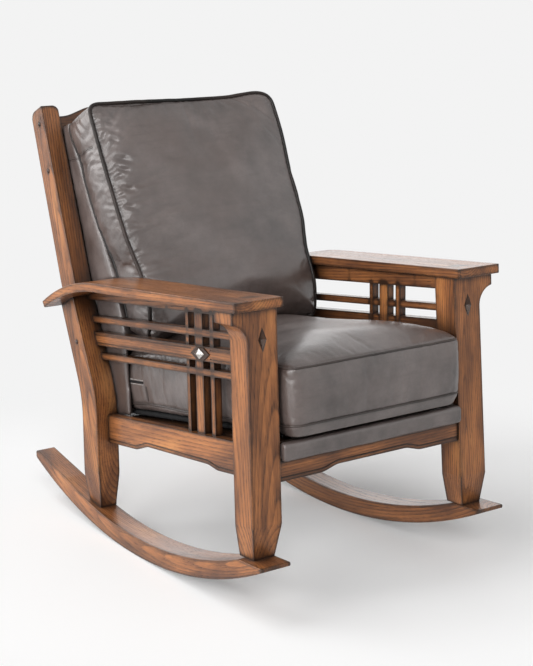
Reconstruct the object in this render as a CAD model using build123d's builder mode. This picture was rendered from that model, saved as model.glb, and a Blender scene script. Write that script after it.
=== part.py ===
from build123d import *

import math
import os

os.makedirs("parts", exist_ok=True)

# A bow-arm rocking chair: slatted sides, a loose seat cushion and an upholstered back.
# X runs across the chair (left is +X), Y from front to back, Z up, in millimetres.
# Sizes are taken from a datum at the front face of the front posts (y) and at the flat
# landing of the runners that carries them (z). The origin lies on the floor under the
# middle of the chair.

# ---- Runners ----
rocker_radius = 1293.4
rocker_center_y = 462.5
rocker_drop = 111.4
runner_depth = 46.2
runner_top_radius = 1300.2
runner_top_center_y = 454.4
runner_nose_y = -44.0
runner_tip_y = 1054.0
runner_tip_z = 53.0
runner_straight_y = 885.0
runner_front_inner_x = 271.5
runner_front_outer_x = 348.5
runner_rear_inner_x = 263.3
runner_rear_outer_x = 315.6
runner_tip_radius = 7.0
runner_nose_radius = 3.5

# ---- Front posts ----
arm_height = 567.4
post_depth = 68.0
front_inner_foot_x = 273.2
front_inner_knee_x = 258.1
front_inner_top_x = 247.1
front_outer_foot_x = 326.8
front_outer_knee_x = 335.8
front_outer_neck_x = 326.2
front_knee_z = 76.0
front_foot_setback = 13.4
corbel_x = 363.0
corbel_quirk = 4.0
corbel_drop = 48.8
corbel_z = arm_height - corbel_drop
cove_radius = 43.8
cove_drop = 93.4
cove_z = arm_height - cove_drop
diamond_x = 288.5
diamond_drop = 88.4
diamond_z = arm_height - diamond_drop
diamond_half_width = 11.0
diamond_half_height = 27.0
diamond_depth = 8.0

# ---- Rear posts ----
rear_inner_x = 258.0
rear_outer_x = 306.0
rear_shoulder = 12.0
rear_foot_inner_x = 266.0
rear_foot_outer_x = 311.0
rear_foot_taper_z = 60.0
rear_foot_y = 721.9
rear_foot_back_y = 764.2
rear_foot_blank_z = -60.0
rear_ankle_y = 704.5
rear_ankle_z = 38.0
rear_knee_y = 691.5
rear_knee_z = 247.0
rear_bend_y = 770.0
rear_bend_z = 471.0
rear_top_y = 899.0
rear_top_z = 960.0
rear_back_top_y = 954.0
rear_back_top_z = 940.0
rear_back_bend_y = 856.0
rear_back_bend_z = 515.0
rear_back_knee_y = 765.5
rear_back_knee_z = 241.0
rear_heel_y = 782.0
rear_heel_z = 25.0
knee_radius = 250.0
bend_radius = 600.0
ankle_radius = 300.0
heel_radius = 100.0
rear_crown_radius = 22.0
rear_inner_crown_radius = 17.0

# ---- Arms ----
arm_inner_x = 245.2
arm_outer_x = 368.7
arm_front_y = -20.7
arm_slope = 0.02342
arm_thickness = 21.7
arm_bend_y = 572.0
arm_tail_y = 848.2
arm_tail_drop = 86.3
arm_tail_z = arm_height - arm_tail_drop
arm_tail_thickness = 16.0
arm_corner_radius = 8.0
arm_tenon_height = 14.0
arm_tenon_inset = 14.0

# ---- Rails and lattice ----
rail_inner_x = 262.0
rail_thickness = 24.0
side_rail_top_z = 243.5
side_rail_top_slope = 0.0589
side_rail_bottom_z = 165.8
side_rail_bottom_slope = 0.0491
side_rail_rise_front = 9.0
side_rail_rise_rear = 13.5
side_rail_rise_y = (205.0, 242.0, 513.0, 560.0)
rail_ogee_radius = 60.0
bead_height = 8.0
bead_width = 2.2
bead_depth = 1.6
front_rail_setback = 6.0
front_rail_thickness = 22.0
front_rail_bottom_z = 163.0
front_rail_rise = 11.0
front_rail_top_z = 208.0
front_rail_flat_x = 100.0
front_rail_ogee_x = 138.0
rear_rail_y = 728.0
rear_rail_bottom_z = 140.0
rear_rail_top_z = 200.0
rail_tenon_length = 25.0
rail_tenon_shoulder = 6.0
rail_tenon_inset = 10.0

lattice_inner_x = 258.0
lattice_thickness = 18.5
arm_rail_drop = 50.4
arm_rail_bottom_z = arm_height - arm_rail_drop
arm_rail_slope = 0.043
upper_slat_z = 482.2
upper_slat_height = 16.4
upper_slat_slope = 0.0497
moulded_slat_z = 445.6
moulded_slat_height = 33.6
moulded_slat_slope = 0.0530
moulded_slat_proud = 5.0
moulding_groove = 2.4
moulding_inset = 6.0
lower_slat_z = 394.2
lower_slat_height = 15.6
lower_slat_slope = 0.0560
slat_tenon_length = 12.0
slat_tenon_thickness = 9.0
slat_tenon_inset = 2.0
upright_reference_z = 480.0
upright_lean = 0.045
rear_slat_y = (308.5, 321.0)
wide_slat_y = (251.0, 283.5)
front_slat_y = (206.5, 222.0)
upright_tenon_length = 10.0

boss_y = 256.0
boss_plate_half_length = 39.0
boss_plate_flat_half = 14.0
boss_plate_half_height = 15.0
boss_plate_thickness = 3.0
boss_stud_half_length = 21.0
boss_stud_half_height = 12.0
boss_stud_rim = 1.5
boss_stud_height = 7.0

# ---- Back frame ----
back_rail_setback = 12.0
back_rail_thickness = 24.0
crest_bottom_z = 885.0
crest_end_z = 935.0
crest_top_z = 954.0
crest_flat_x = 170.0
crest_ogee_x = 232.0
crest_ogee_radius = 90.0
crest_screw_z = 915.0
middle_back_rail_z = 800.0
lower_back_rail_z = 382.0
back_rail_height = 56.0
webbing_count = 5
webbing_width = 50.0
webbing_thickness = 2.5
webbing_pitch = 92.0
outside_back_thickness = 3.0
outside_back_bottom_z = 356.0
outside_back_top_z = 932.0
outside_back_clearance = 0.5

# ---- Seat ----
seat_height = 270.0
seat_slope = 0.085
deck_pad_thickness = 12.4
wire_gap = 0.1
deck_pad_front_y = 32.0
deck_pad_rear_y = 664.0
deck_pad_half_width = 236.0
spring_wire = 3.8
spring_count = 5
spring_pitch_x = 88.0
spring_half_width = 24.0
spring_step = 26.0
spring_bend_radius = 12.5
spring_front_y = 34.0
spring_steps = 25
clip_length = 22.0
clip_width = 14.0
clip_height = 5.4
frame_front_y = 10.8
frame_rear_y = 722.0
frame_half_width = 252.0
frame_member = 50.0
frame_thickness = 22.0
cleat_width = 26.0
cleat_height = 26.0
cross_cleat_half_length = 180.0
dust_cover_thickness = 1.0
roll_front_y = -13.0
roll_top_z = 251.0
roll_half_width = 252.0
roll_radius = 9.0
block_height = 26.0
front_block_top_z = 192.0
rear_block_top_z = 166.0
block_reach = 69.0
block_side_reach = 40.0

# ---- Cushions ----
soft_gap = 0.3
cover_thickness = 1.8
fill_gap = 0.2
seat_cushion_half_width = 243.0
seat_cushion_front_y = -35.0
seat_cushion_rear_y = 668.0
seat_cushion_front_z = 412.0
seat_cushion_crown_y = 110.0
seat_cushion_crown_z = 437.0
seat_cushion_mid_y = 540.0
seat_cushion_mid_z = 396.0
seat_cushion_rear_z = 372.0
seat_cushion_radius = 22.0
crown_radius = 300.0
cushion_rear_radius = 10.0
zip_half_width = 222.0
zip_height = 20.0
zip_thickness = 1.5
zip_above_bottom = 62.0
slider_length = 14.0
slider_height = 9.0
slider_thickness = 3.0

back_half_width = 256.0
back_wing_inner_x = 244.5
back_wing_y = 640.0
back_pocket_y = 676.0
back_pocket_gap = 4.0
back_top_fall = 11.0
back_low_z = 412.0
back_fold_y = 678.0
back_fold_z = 541.0
back_top_welt_y = 859.0
back_top_welt_z = 916.0
pillow_half_width = 262.0
pillow_arm_half_width = 244.6
pillow_flare_z = 576.0
pillow_flare_height = 120.0
pillow_top_y = 736.0
pillow_top_z = 963.0
pillow_bottom_y = 528.0
pillow_belly_y = 576.0
pillow_belly_z = 640.0
pillow_belly_radius = 300.0
pillow_radius = 20.0

# ---- Fastenings ----
plug_diameter = 12.0
plug_depth = 9.0
plug_dome = 3.5
post_screw_length = 70.0
screw_diameter = 5.0
screw_head_diameter = 9.5
screw_head_length = 3.5
bolt_diameter = 8.0
bolt_head_diameter = 16.0
bolt_head_length = 6.0
bolt_counterbore = 8.0
bolt_length = 82.0
front_bolt_y = 40.0
arm_screw_length = 34.0
arm_screw_y = (150.0, 400.0)
corner_screw_length = 46.0
screw_sink = 1.0

edge_ease = 2.0

rest_lean = 3.4

# ---- Datum ----
# At rest the chair leans back on its runners, about the middle of their arc, until its
# centre of gravity lies under that middle. Every outline below is drawn upright, in a
# frame that leans with the chair.
lean = math.radians(rest_lean)
arc_center_z = rocker_radius - rocker_drop
datum_z = rocker_radius - arc_center_z * math.cos(lean) + rocker_center_y * math.sin(lean)
nose_reach_y = runner_nose_y * math.cos(lean)
tip_reach_y = runner_tip_y * math.cos(lean) + (runner_tip_z - runner_tip_radius) * math.sin(lean)
datum_y = -(nose_reach_y + tip_reach_y) / 2
chair = Plane(origin=(0, datum_y, datum_z), x_dir=(1, 0, 0), z_dir=(0, math.sin(lean), math.cos(lean)))


def place(x, y, z):
    return chair.from_local_coords(Vector(x, y, z))


def turned(x, y, z):
    return place(x, y, z) - place(0, 0, 0)


def side_plane(x):
    return Plane(origin=place(x, 0, 0), x_dir=turned(0, 1, 0), z_dir=(1, 0, 0))


def front_plane(y):
    return Plane(origin=place(0, y, 0), x_dir=(1, 0, 0), z_dir=turned(0, -1, 0))


def level_plane(z):
    return Plane(origin=place(0, 0, z), x_dir=(1, 0, 0), z_dir=turned(0, 0, 1))


def seat_plane(below):
    return Plane(origin=place(0, 0, seat_height - below), x_dir=(1, 0, 0), z_dir=turned(0, seat_slope, 1))


back_lean = math.atan((rear_top_y - rear_bend_y) / (rear_top_z - rear_bend_z))


def back_plane(behind):
    forward, upward = math.cos(back_lean), math.sin(back_lean)
    origin = place(0, rear_bend_y + behind * forward, rear_bend_z - behind * upward)
    return Plane(origin=origin, x_dir=(1, 0, 0), z_dir=turned(0, -forward, upward))


def up_back(z):
    return (z - rear_bend_z) / math.cos(back_lean)


def seat_z(y, below=0.0):
    return seat_height - seat_slope * y - below


def rocker_z(y):
    return rocker_radius - rocker_drop - math.sqrt(rocker_radius**2 - (y - rocker_center_y) ** 2)


runner_top_center_z = runner_top_radius - rocker_drop + runner_depth


def runner_top_z(y):
    return runner_top_center_z - math.sqrt(runner_top_radius**2 - (y - runner_top_center_y) ** 2)


def arm_under_z(y):
    return arm_height - arm_thickness - arm_slope * y


def save(piece, name):
    piece.part.label = name
    export_step(piece.part, f"parts/{name}.step")


def save_pair(piece, name):
    save(piece, f"{name}_left")
    with BuildPart() as other:
        mirror(piece.part, about=Plane.YZ)
    save(other, f"{name}_right")


def screw(head_plane, length, head=screw_head_diameter, head_length=screw_head_length,
          shank=screw_diameter, cone=True):
    """A screw whose head starts at the plane's origin and which runs along its x direction."""
    rim = shank / 2 if cone else head / 2
    with BuildSketch(head_plane) as shape:
        Polygon((0, 0), (0, head / 2), (head_length, rim), (head_length, shank / 2),
                (length, shank / 2), (length, 0), align=None)
    revolve(shape.sketch, axis=Axis(head_plane.origin, head_plane.x_dir))


# ---- Outlines that several pieces share, drawn on a side plane ----
def draw_rear_post():
    with BuildLine() as outline:
        FilletPolyline(
            (rear_foot_y, rear_foot_blank_z),
            (rear_ankle_y, rear_ankle_z),
            (rear_knee_y, rear_knee_z),
            (rear_bend_y, rear_bend_z),
            (rear_top_y, rear_top_z),
            (rear_back_top_y, rear_back_top_z),
            (rear_back_bend_y, rear_back_bend_z),
            (rear_back_knee_y, rear_back_knee_z),
            (rear_heel_y, rear_heel_z),
            (rear_foot_back_y, rear_foot_blank_z),
            radius=[0, ankle_radius, knee_radius, bend_radius, 0,
                    rear_crown_radius, bend_radius, knee_radius, heel_radius, 0],
            close=True,
        )
    make_face(outline.line)


def tail_dip():
    """How steeply the arm's tip points down, from the tangent arc that reaches it."""
    drop = arm_height - arm_slope * arm_bend_y - arm_tail_z
    chord_angle = math.atan2(drop, arm_tail_y - arm_bend_y)
    return 2 * chord_angle - math.atan(arm_slope)


def tail_under_point(gap=0.0):
    return (arm_tail_y + gap - arm_tail_thickness * math.sin(tail_dip()),
            arm_tail_z - gap - arm_tail_thickness * math.cos(tail_dip()))


def draw_arm(gap=0.0):
    """The arm's side outline: a straight board whose tail bends down on two tangent arcs."""
    run = (1, -arm_slope)
    top_front = (arm_front_y - gap, arm_height - arm_slope * (arm_front_y - gap) + gap)
    top_bend = (arm_bend_y, arm_height - arm_slope * arm_bend_y + gap)
    under_front = (arm_front_y - gap, arm_under_z(arm_front_y - gap) - gap)
    under_bend = (arm_bend_y, arm_under_z(arm_bend_y) - gap)
    tail_top = (arm_tail_y + gap, arm_tail_z + gap)
    tail_under = tail_under_point(gap)
    with BuildLine() as outline:
        Line(top_front, top_bend)
        TangentArc(top_bend, tail_top, tangent=run)
        Line(tail_top, tail_under)
        TangentArc(under_bend, tail_under, tangent=run)
        Line(under_bend, under_front)
        Line(under_front, top_front)
    make_face(outline.line)


def draw_above_arm():
    """Everything above the arm's underside."""
    under_front = (arm_front_y, arm_under_z(arm_front_y))
    under_bend = (arm_bend_y, arm_under_z(arm_bend_y))
    tail_under = tail_under_point()
    beyond = (tail_under[0] + arm_thickness, tail_under[1] - arm_thickness * math.tan(tail_dip()))
    far, high = rear_back_top_y + arm_thickness, rear_top_z + arm_thickness
    with BuildLine() as outline:
        Line(under_front, under_bend)
        TangentArc(under_bend, tail_under, tangent=(1, -arm_slope))
        Polyline(tail_under, beyond, (far, beyond[1]), (far, high), (arm_front_y, high), under_front)
    make_face(outline.line)


def draw_below_runner():
    """Everything below the top of the runner, as far as the posts reach."""
    start = rear_knee_y - post_depth
    end = rear_heel_y + post_depth
    middle = (start + end) / 2
    low = -2 * rocker_drop
    with BuildLine() as outline:
        ThreePointArc((start, runner_top_z(start)), (middle, runner_top_z(middle)),
                      (end, runner_top_z(end)))
        Polyline((end, runner_top_z(end)), (end, low), (start, low), (start, runner_top_z(start)))
    make_face(outline.line)


def draw_band(top, bottom, slope, start, end):
    """A straight sloping band between two lines of the same fall."""
    Polygon((start, top - slope * start), (end, top - slope * end),
            (end, bottom - slope * end), (start, bottom - slope * start), align=None)


def upright_y(reference_y, top, slope):
    """Where an upright edge that leans forward meets a falling line, as (y, z)."""
    z = (top - slope * (reference_y + upright_lean * upright_reference_z)) / (1 - slope * upright_lean)
    return (reference_y + upright_lean * (upright_reference_z - z), z)


def draw_upright(edges, reach=0.0):
    front_y, back_y = edges
    Polygon(
        upright_y(front_y, side_rail_top_z - reach, side_rail_top_slope),
        upright_y(back_y, side_rail_top_z - reach, side_rail_top_slope),
        upright_y(back_y, arm_rail_bottom_z + reach, arm_rail_slope),
        upright_y(front_y, arm_rail_bottom_z + reach, arm_rail_slope),
        align=None,
    )


# ---- Blanks: the posts before their mortises are cut ----
def add_front_post():
    top_z = arm_height + arm_thickness
    cove_x = front_outer_neck_x + cove_radius
    quirk_x = corbel_x - corbel_quirk
    cove_end = math.degrees(math.acos((quirk_x - cove_x) / cove_radius))
    quirk_z = cove_z + cove_radius * math.sin(math.radians(cove_end))
    with BuildSketch(front_plane(0)) as shape:
        with BuildLine() as outline:
            CenterArc((cove_x, cove_z), cove_radius, cove_end, 180 - cove_end)
            Polyline(
                (front_outer_neck_x, cove_z),
                (front_outer_knee_x, front_knee_z),
                (front_outer_foot_x, 0),
                (front_inner_foot_x, 0),
                (front_inner_knee_x, front_knee_z),
                (front_inner_top_x, top_z),
                (corbel_x, top_z),
                (corbel_x, corbel_z),
                (quirk_x, quirk_z),
            )
        make_face(outline.line)
    extrude(shape.sketch, amount=-post_depth)
    with BuildSketch(side_plane(front_inner_top_x - 1)) as shape:
        Polygon((-1, front_knee_z), (0, front_knee_z), (front_foot_setback, 0),
                (-1, 0), align=None)
    extrude(shape.sketch, amount=corbel_x - front_inner_top_x + 2, mode=Mode.SUBTRACT)
    with BuildSketch(side_plane(front_inner_top_x - 1)) as shape:
        draw_above_arm()
    extrude(shape.sketch, amount=corbel_x - front_inner_top_x + 2, mode=Mode.SUBTRACT)


def cut_rear_post(from_x, amount):
    with BuildSketch(side_plane(from_x)) as shape:
        draw_rear_post()
    extrude(shape.sketch, amount=amount, mode=Mode.SUBTRACT)


def add_rear_post(width):
    with BuildSketch(side_plane(rear_inner_x)) as shape:
        draw_rear_post()
    extrude(shape.sketch, amount=width)


def taper_rear_foot():
    """The post's foot narrows to both sides before it meets the runner."""
    outer_x = rear_outer_x + rear_shoulder
    foot_low_z = rear_foot_blank_z + post_depth / 2
    with BuildSketch(side_plane(rear_inner_x - 1)) as shape:
        draw_below_runner()
    extrude(shape.sketch, amount=outer_x - rear_inner_x + 2, mode=Mode.SUBTRACT)
    with BuildSketch(front_plane(rear_knee_y - post_depth)) as shape:
        Polygon((rear_inner_x - 1, rear_foot_taper_z), (rear_inner_x, rear_foot_taper_z),
                (rear_foot_inner_x, foot_low_z), (rear_foot_inner_x, rear_foot_blank_z),
                (rear_inner_x - 1, rear_foot_blank_z), align=None)
        Polygon((outer_x + 1, rear_foot_taper_z), (outer_x, rear_foot_taper_z),
                (rear_foot_outer_x, foot_low_z), (rear_foot_outer_x, rear_foot_blank_z),
                (outer_x + 1, rear_foot_blank_z), align=None)
    extrude(shape.sketch, amount=-3 * post_depth, mode=Mode.SUBTRACT)


def round_rear_crown():
    """The top's inner corner is rounded along the fall of the top face."""
    fall = turned(0, rear_back_top_y - rear_top_y, rear_back_top_z - rear_top_z)
    crown_origin = place(rear_inner_x, rear_top_y, rear_top_z)
    reach = rear_inner_crown_radius
    bulge = reach * (1 - math.sqrt(0.5))
    with BuildSketch(Plane(origin=crown_origin, x_dir=(1, 0, 0), z_dir=fall)) as shape:
        with BuildLine() as outline:
            ThreePointArc((reach, 0), (bulge, bulge), (0, reach))
            Polyline((0, reach), (-1, reach), (-1, -1), (reach, -1), (reach, 0))
        make_face(outline.line)
    extrude(shape.sketch, amount=post_depth, both=True, mode=Mode.SUBTRACT)


# ---- Fastenings that several pieces are bored for ----
def fastening_places():
    """Height, post outer face and back rail of each screw, as (y, z, outer x)."""
    places = []
    middle = back_rail_setback + back_rail_thickness / 2
    for z, outer in ((crest_screw_z, rear_outer_x), (middle_back_rail_z, rear_outer_x),
                     (lower_back_rail_z, rear_outer_x + rear_shoulder)):
        y = rear_bend_y + (z - rear_bend_z) * math.tan(back_lean) + middle / math.cos(back_lean)
        places.append((y, z, outer))
    return places


with BuildPart() as post_screws:
    for y, z, outer in fastening_places():
        start = Plane(origin=place(outer - plug_depth, y, z), x_dir=(-1, 0, 0), z_dir=turned(0, 0, 1))
        screw(start, post_screw_length)
    mirror(about=Plane.YZ)
save(post_screws, "post_screws")

with BuildPart() as post_plugs:
    for y, z, outer in fastening_places():
        dome_radius = (plug_diameter**2 / 4 + plug_dome**2) / (2 * plug_dome)
        plug_plane = Plane(origin=place(outer, y, z), x_dir=(1, 0, 0), z_dir=turned(0, 0, 1))
        with BuildSketch(plug_plane):
            with BuildLine():
                Polyline((0, plug_diameter / 2), (-plug_depth, plug_diameter / 2), (-plug_depth, 0),
                         (plug_dome, 0))
                RadiusArc((0, plug_diameter / 2), (plug_dome, 0), dome_radius)
            make_face()
        revolve(axis=Axis(plug_plane.origin, plug_plane.x_dir))
    mirror(about=Plane.YZ)
save(post_plugs, "post_plugs")


def bolt_places():
    """Bolts through the runners, as (x, y) at the middle of each foot."""
    front_x = (front_inner_foot_x + front_outer_foot_x) / 2
    rear_x = (rear_foot_inner_x + rear_foot_outer_x) / 2
    return ((front_x, front_bolt_y), (rear_x, (rear_foot_y + rear_foot_back_y) / 2))


with BuildPart() as runner_bolts:
    for x, y in bolt_places():
        head_z = rocker_z(y) + bolt_counterbore
        start = Plane(origin=place(x, y, head_z), x_dir=turned(0, 0, 1), z_dir=turned(0, 1, 0))
        screw(start, bolt_length, bolt_head_diameter, bolt_head_length, bolt_diameter, cone=False)
    mirror(about=Plane.YZ)
save(runner_bolts, "runner_bolts")

arm_screw_x = lattice_inner_x + lattice_thickness / 2
with BuildPart() as arm_screws:
    for y in arm_screw_y:
        head_z = arm_rail_bottom_z - arm_rail_slope * y
        start = Plane(origin=place(arm_screw_x, y, head_z + screw_sink),
                      x_dir=turned(0, 0, 1), z_dir=turned(0, 1, 0))
        screw(start, arm_screw_length)
    mirror(about=Plane.YZ)
save(arm_screws, "arm_screws")

with BuildPart() as corner_screws:
    front_y = front_rail_setback + front_rail_thickness
    for y, reach_y, top_z in (
        (front_y, post_depth + block_side_reach - front_y, front_block_top_z),
        (rear_rail_y, -post_depth / 2 - block_side_reach, rear_block_top_z),
    ):
        middle = place(rail_inner_x - block_reach / 2, y + reach_y / 2, top_z - block_height / 2)
        inwards = turned(abs(reach_y), -math.copysign(block_reach, reach_y), 0)
        screw(Plane(origin=middle, x_dir=inwards, z_dir=turned(0, 0, 1)), corner_screw_length)
    mirror(about=Plane.YZ)
save(corner_screws, "corner_screws")


# ---- Runners ----
def add_runner_blank():
    landing_y = runner_top_center_y - math.sqrt(runner_top_radius**2 - runner_top_center_z**2)
    middle = rocker_center_y
    nose_low = (runner_nose_y, rocker_z(runner_nose_y))
    tip_low = (runner_tip_y, rocker_z(runner_tip_y))
    with BuildSketch(side_plane(0)) as profile:
        with BuildLine() as outline:
            ThreePointArc(nose_low, (middle, rocker_z(middle)), tip_low)
            Polyline(tip_low, (runner_tip_y, runner_tip_z),
                     (runner_straight_y, runner_top_z(runner_straight_y)))
            ThreePointArc((runner_straight_y, runner_top_z(runner_straight_y)),
                          (middle, runner_top_z(middle)), (landing_y, 0))
            Polyline((landing_y, 0), (runner_nose_y, 0), nose_low)
        make_face(outline.line)
        fillet(profile.vertices().group_by(Axis.X)[-1], runner_tip_radius)
        fillet(profile.vertices().group_by(Axis.X)[0], runner_nose_radius)
    extrude(profile.sketch, amount=corbel_x)
    with BuildSketch(level_plane(-2 * rocker_drop)) as shape:
        Polygon((runner_front_inner_x, runner_nose_y), (runner_front_outer_x, runner_nose_y),
                (runner_rear_outer_x, runner_tip_y), (runner_rear_inner_x, runner_tip_y), align=None)
    extrude(shape.sketch, amount=4 * rocker_drop, mode=Mode.INTERSECT)


def cut_well(x, y, low_z, high_z, diameter):
    """A round well that opens downwards under a screw or bolt head."""
    with BuildSketch(level_plane(low_z)) as shape:
        with Locations((x, y)):
            Circle(diameter / 2)
    extrude(shape.sketch, amount=high_z - low_z, mode=Mode.SUBTRACT)


with BuildPart() as runner:
    add_runner_blank()
    fillet(runner.edges().filter_by(lambda edge: edge.length > post_depth), edge_ease)
    for x, y in bolt_places():
        cut_well(x, y, -2 * rocker_drop, rocker_z(y) + bolt_counterbore, bolt_head_diameter)
    add(runner_bolts.part, mode=Mode.SUBTRACT)
save_pair(runner, "runner")


# ---- Lattice: three falling slats half-lapped over three uprights ----
lap_x = lattice_inner_x + lattice_thickness / 2
boss_front_y = boss_y - boss_plate_half_length
boss_rear_y = boss_y + boss_plate_half_length
upright_edges = (front_slat_y, wide_slat_y, rear_slat_y)
slat_bands = (
    (upper_slat_z, upper_slat_height, upper_slat_slope),
    (moulded_slat_z, moulded_slat_height, moulded_slat_slope),
    (lower_slat_z, lower_slat_height, lower_slat_slope),
)


def add_slat(band, thickness):
    top, height, slope = band
    rear_y = rear_bend_y + slat_tenon_length
    with BuildSketch(side_plane(lattice_inner_x)) as shape:
        draw_band(top, top - height, slope, post_depth, rear_y)
    extrude(shape.sketch, amount=thickness)
    cut_rear_post(lattice_inner_x - 1, thickness + 2)
    for edges in upright_edges:
        with BuildSketch(side_plane(lattice_inner_x - 1)) as shape:
            draw_upright(edges)
        extrude(shape.sketch, amount=lap_x - lattice_inner_x + 1, mode=Mode.SUBTRACT)
    front_tenon = (post_depth - slat_tenon_length, post_depth + slat_tenon_length)
    post_y = slat_end_y(top - height / 2, slope)
    rear_tenon = (post_y - slat_tenon_length, post_y + slat_tenon_length)
    for start, end in (front_tenon, rear_tenon):
        tenon_x = lattice_inner_x + (lattice_thickness - slat_tenon_thickness) / 2
        with BuildSketch(side_plane(tenon_x)) as shape:
            draw_band(top - slat_tenon_inset, top - height + slat_tenon_inset, slope, start, end)
        extrude(shape.sketch, amount=slat_tenon_thickness)


def slat_end_y(middle_z, slope):
    """Where a slat's middle line meets the straight front of the rear post below its bend."""
    post_slope = (rear_bend_y - rear_knee_y) / (rear_bend_z - rear_knee_z)
    return (rear_knee_y + post_slope * (middle_z - rear_knee_z)) / (1 + post_slope * slope)


def draw_upright_tenon(edges, line_z, slope, below, above):
    front_y, back_y = edges
    Polygon(
        upright_y(front_y, line_z - below, slope),
        upright_y(back_y, line_z - below, slope),
        upright_y(back_y, line_z + above, slope),
        upright_y(front_y, line_z + above, slope),
        align=None,
    )


def add_upright(edges):
    with BuildSketch(side_plane(lattice_inner_x)) as shape:
        draw_upright(edges)
    extrude(shape.sketch, amount=lattice_thickness)
    for top, height, slope in slat_bands:
        with BuildSketch(side_plane(lap_x)) as shape:
            draw_band(top, top - height, slope, post_depth, rear_knee_y)
        extrude(shape.sketch, amount=lattice_thickness, mode=Mode.SUBTRACT)
    tenon_edges = (edges[0] + slat_tenon_inset, edges[1] - slat_tenon_inset)
    with BuildSketch(side_plane(lattice_inner_x + (lattice_thickness - slat_tenon_thickness) / 2)) as shape:
        draw_upright_tenon(tenon_edges, arm_rail_bottom_z, arm_rail_slope,
                           slat_tenon_inset, upright_tenon_length)
        draw_upright_tenon(tenon_edges, side_rail_top_z, side_rail_top_slope,
                           upright_tenon_length, slat_tenon_inset)
    extrude(shape.sketch, amount=slat_tenon_thickness)


with BuildPart() as upper_slat:
    add_slat(slat_bands[0], lattice_thickness)
save_pair(upper_slat, "upper_slat")

with BuildPart() as moulded_slat:
    add_slat(slat_bands[1], lattice_thickness + moulded_slat_proud)
    outer_x = lattice_inner_x + lattice_thickness + moulded_slat_proud
    with BuildSketch(side_plane(outer_x - moulding_groove / 2)):
        for z in (moulded_slat_z - moulding_inset,
                  moulded_slat_z - moulded_slat_height + moulding_inset + moulding_groove):
            draw_band(z, z - moulding_groove, moulded_slat_slope, post_depth, boss_front_y)
            draw_band(z, z - moulding_groove, moulded_slat_slope, boss_rear_y, rear_bend_y)
    extrude(amount=moulding_groove, mode=Mode.SUBTRACT)
save_pair(moulded_slat, "moulded_slat")

with BuildPart() as lower_slat:
    add_slat(slat_bands[2], lattice_thickness)
save_pair(lower_slat, "lower_slat")

with BuildPart() as front_slat:
    add_upright(front_slat_y)
save_pair(front_slat, "front_slat")

with BuildPart() as wide_slat:
    add_upright(wide_slat_y)
save_pair(wide_slat, "wide_slat")

with BuildPart() as rear_slat:
    add_upright(rear_slat_y)
save_pair(rear_slat, "rear_slat")

# ---- The lozenge and its metal stud, over the moulded slat ----
boss_z = moulded_slat_z - moulded_slat_height / 2 - moulded_slat_slope * boss_y
boss_x = lattice_inner_x + lattice_thickness + moulded_slat_proud
with BuildPart() as boss_plate:
    with BuildSketch(side_plane(boss_x)):
        fall = moulded_slat_slope
        points = [(-boss_plate_half_length, 0), (-boss_plate_flat_half, boss_plate_half_height),
                  (boss_plate_flat_half, boss_plate_half_height), (boss_plate_half_length, 0),
                  (boss_plate_flat_half, -boss_plate_half_height),
                  (-boss_plate_flat_half, -boss_plate_half_height)]
        Polygon(*[(boss_y + y, boss_z + z - fall * y) for y, z in points], align=None)
    extrude(amount=boss_plate_thickness)
    chamfer(boss_plate.faces().sort_by(Axis.X)[-1].edges(), boss_plate_thickness / 3)
save_pair(boss_plate, "boss_plate")

with BuildPart() as boss_stud:
    with BuildSketch(side_plane(boss_x + boss_plate_thickness)) as stud_base:
        fall = moulded_slat_slope
        points = [(-boss_stud_half_length, 0), (0, boss_stud_half_height),
                  (boss_stud_half_length, 0), (0, -boss_stud_half_height)]
        Polygon(*[(boss_y + y, boss_z + z - fall * y) for y, z in points], align=None)
    extrude(amount=boss_stud_rim)
    with BuildSketch(side_plane(boss_x + boss_plate_thickness + boss_stud_rim)):
        Polygon(*[(boss_y + y, boss_z + z - fall * y) for y, z in points], align=None)
    apex_x = boss_x + boss_plate_thickness + boss_stud_rim + boss_stud_height
    apex = Vertex(place(apex_x, boss_y, boss_z))
    loft(sections=[boss_stud.faces().sort_by(Axis.X)[-1], apex], ruled=True)
save_pair(boss_stud, "boss_stud")

# ---- Side rails ----
def side_rail_bottom(lift=0.0):
    """The rail's lower edge, from front to back, with a raised middle between two ogees."""
    def low(y, rise):
        return (y, side_rail_bottom_z - side_rail_bottom_slope * y + rise + lift)

    first, second, third, fourth = side_rail_rise_y
    return [low(post_depth, 0), low(first, 0), low(second, side_rail_rise_front),
            low(third, side_rail_rise_rear), low(fourth, 0), low(rear_knee_y + rail_tenon_length, 0)]


def draw_bead(edge_below, edge_above):
    ogees = [rail_ogee_radius] * (len(edge_below) - 2)
    with BuildLine() as outline:
        FilletPolyline(*edge_below, radius=ogees)
        FilletPolyline(*edge_above, radius=ogees)
        Line(edge_below[0], edge_above[0])
        Line(edge_below[-1], edge_above[-1])
    make_face(outline.line)


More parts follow.
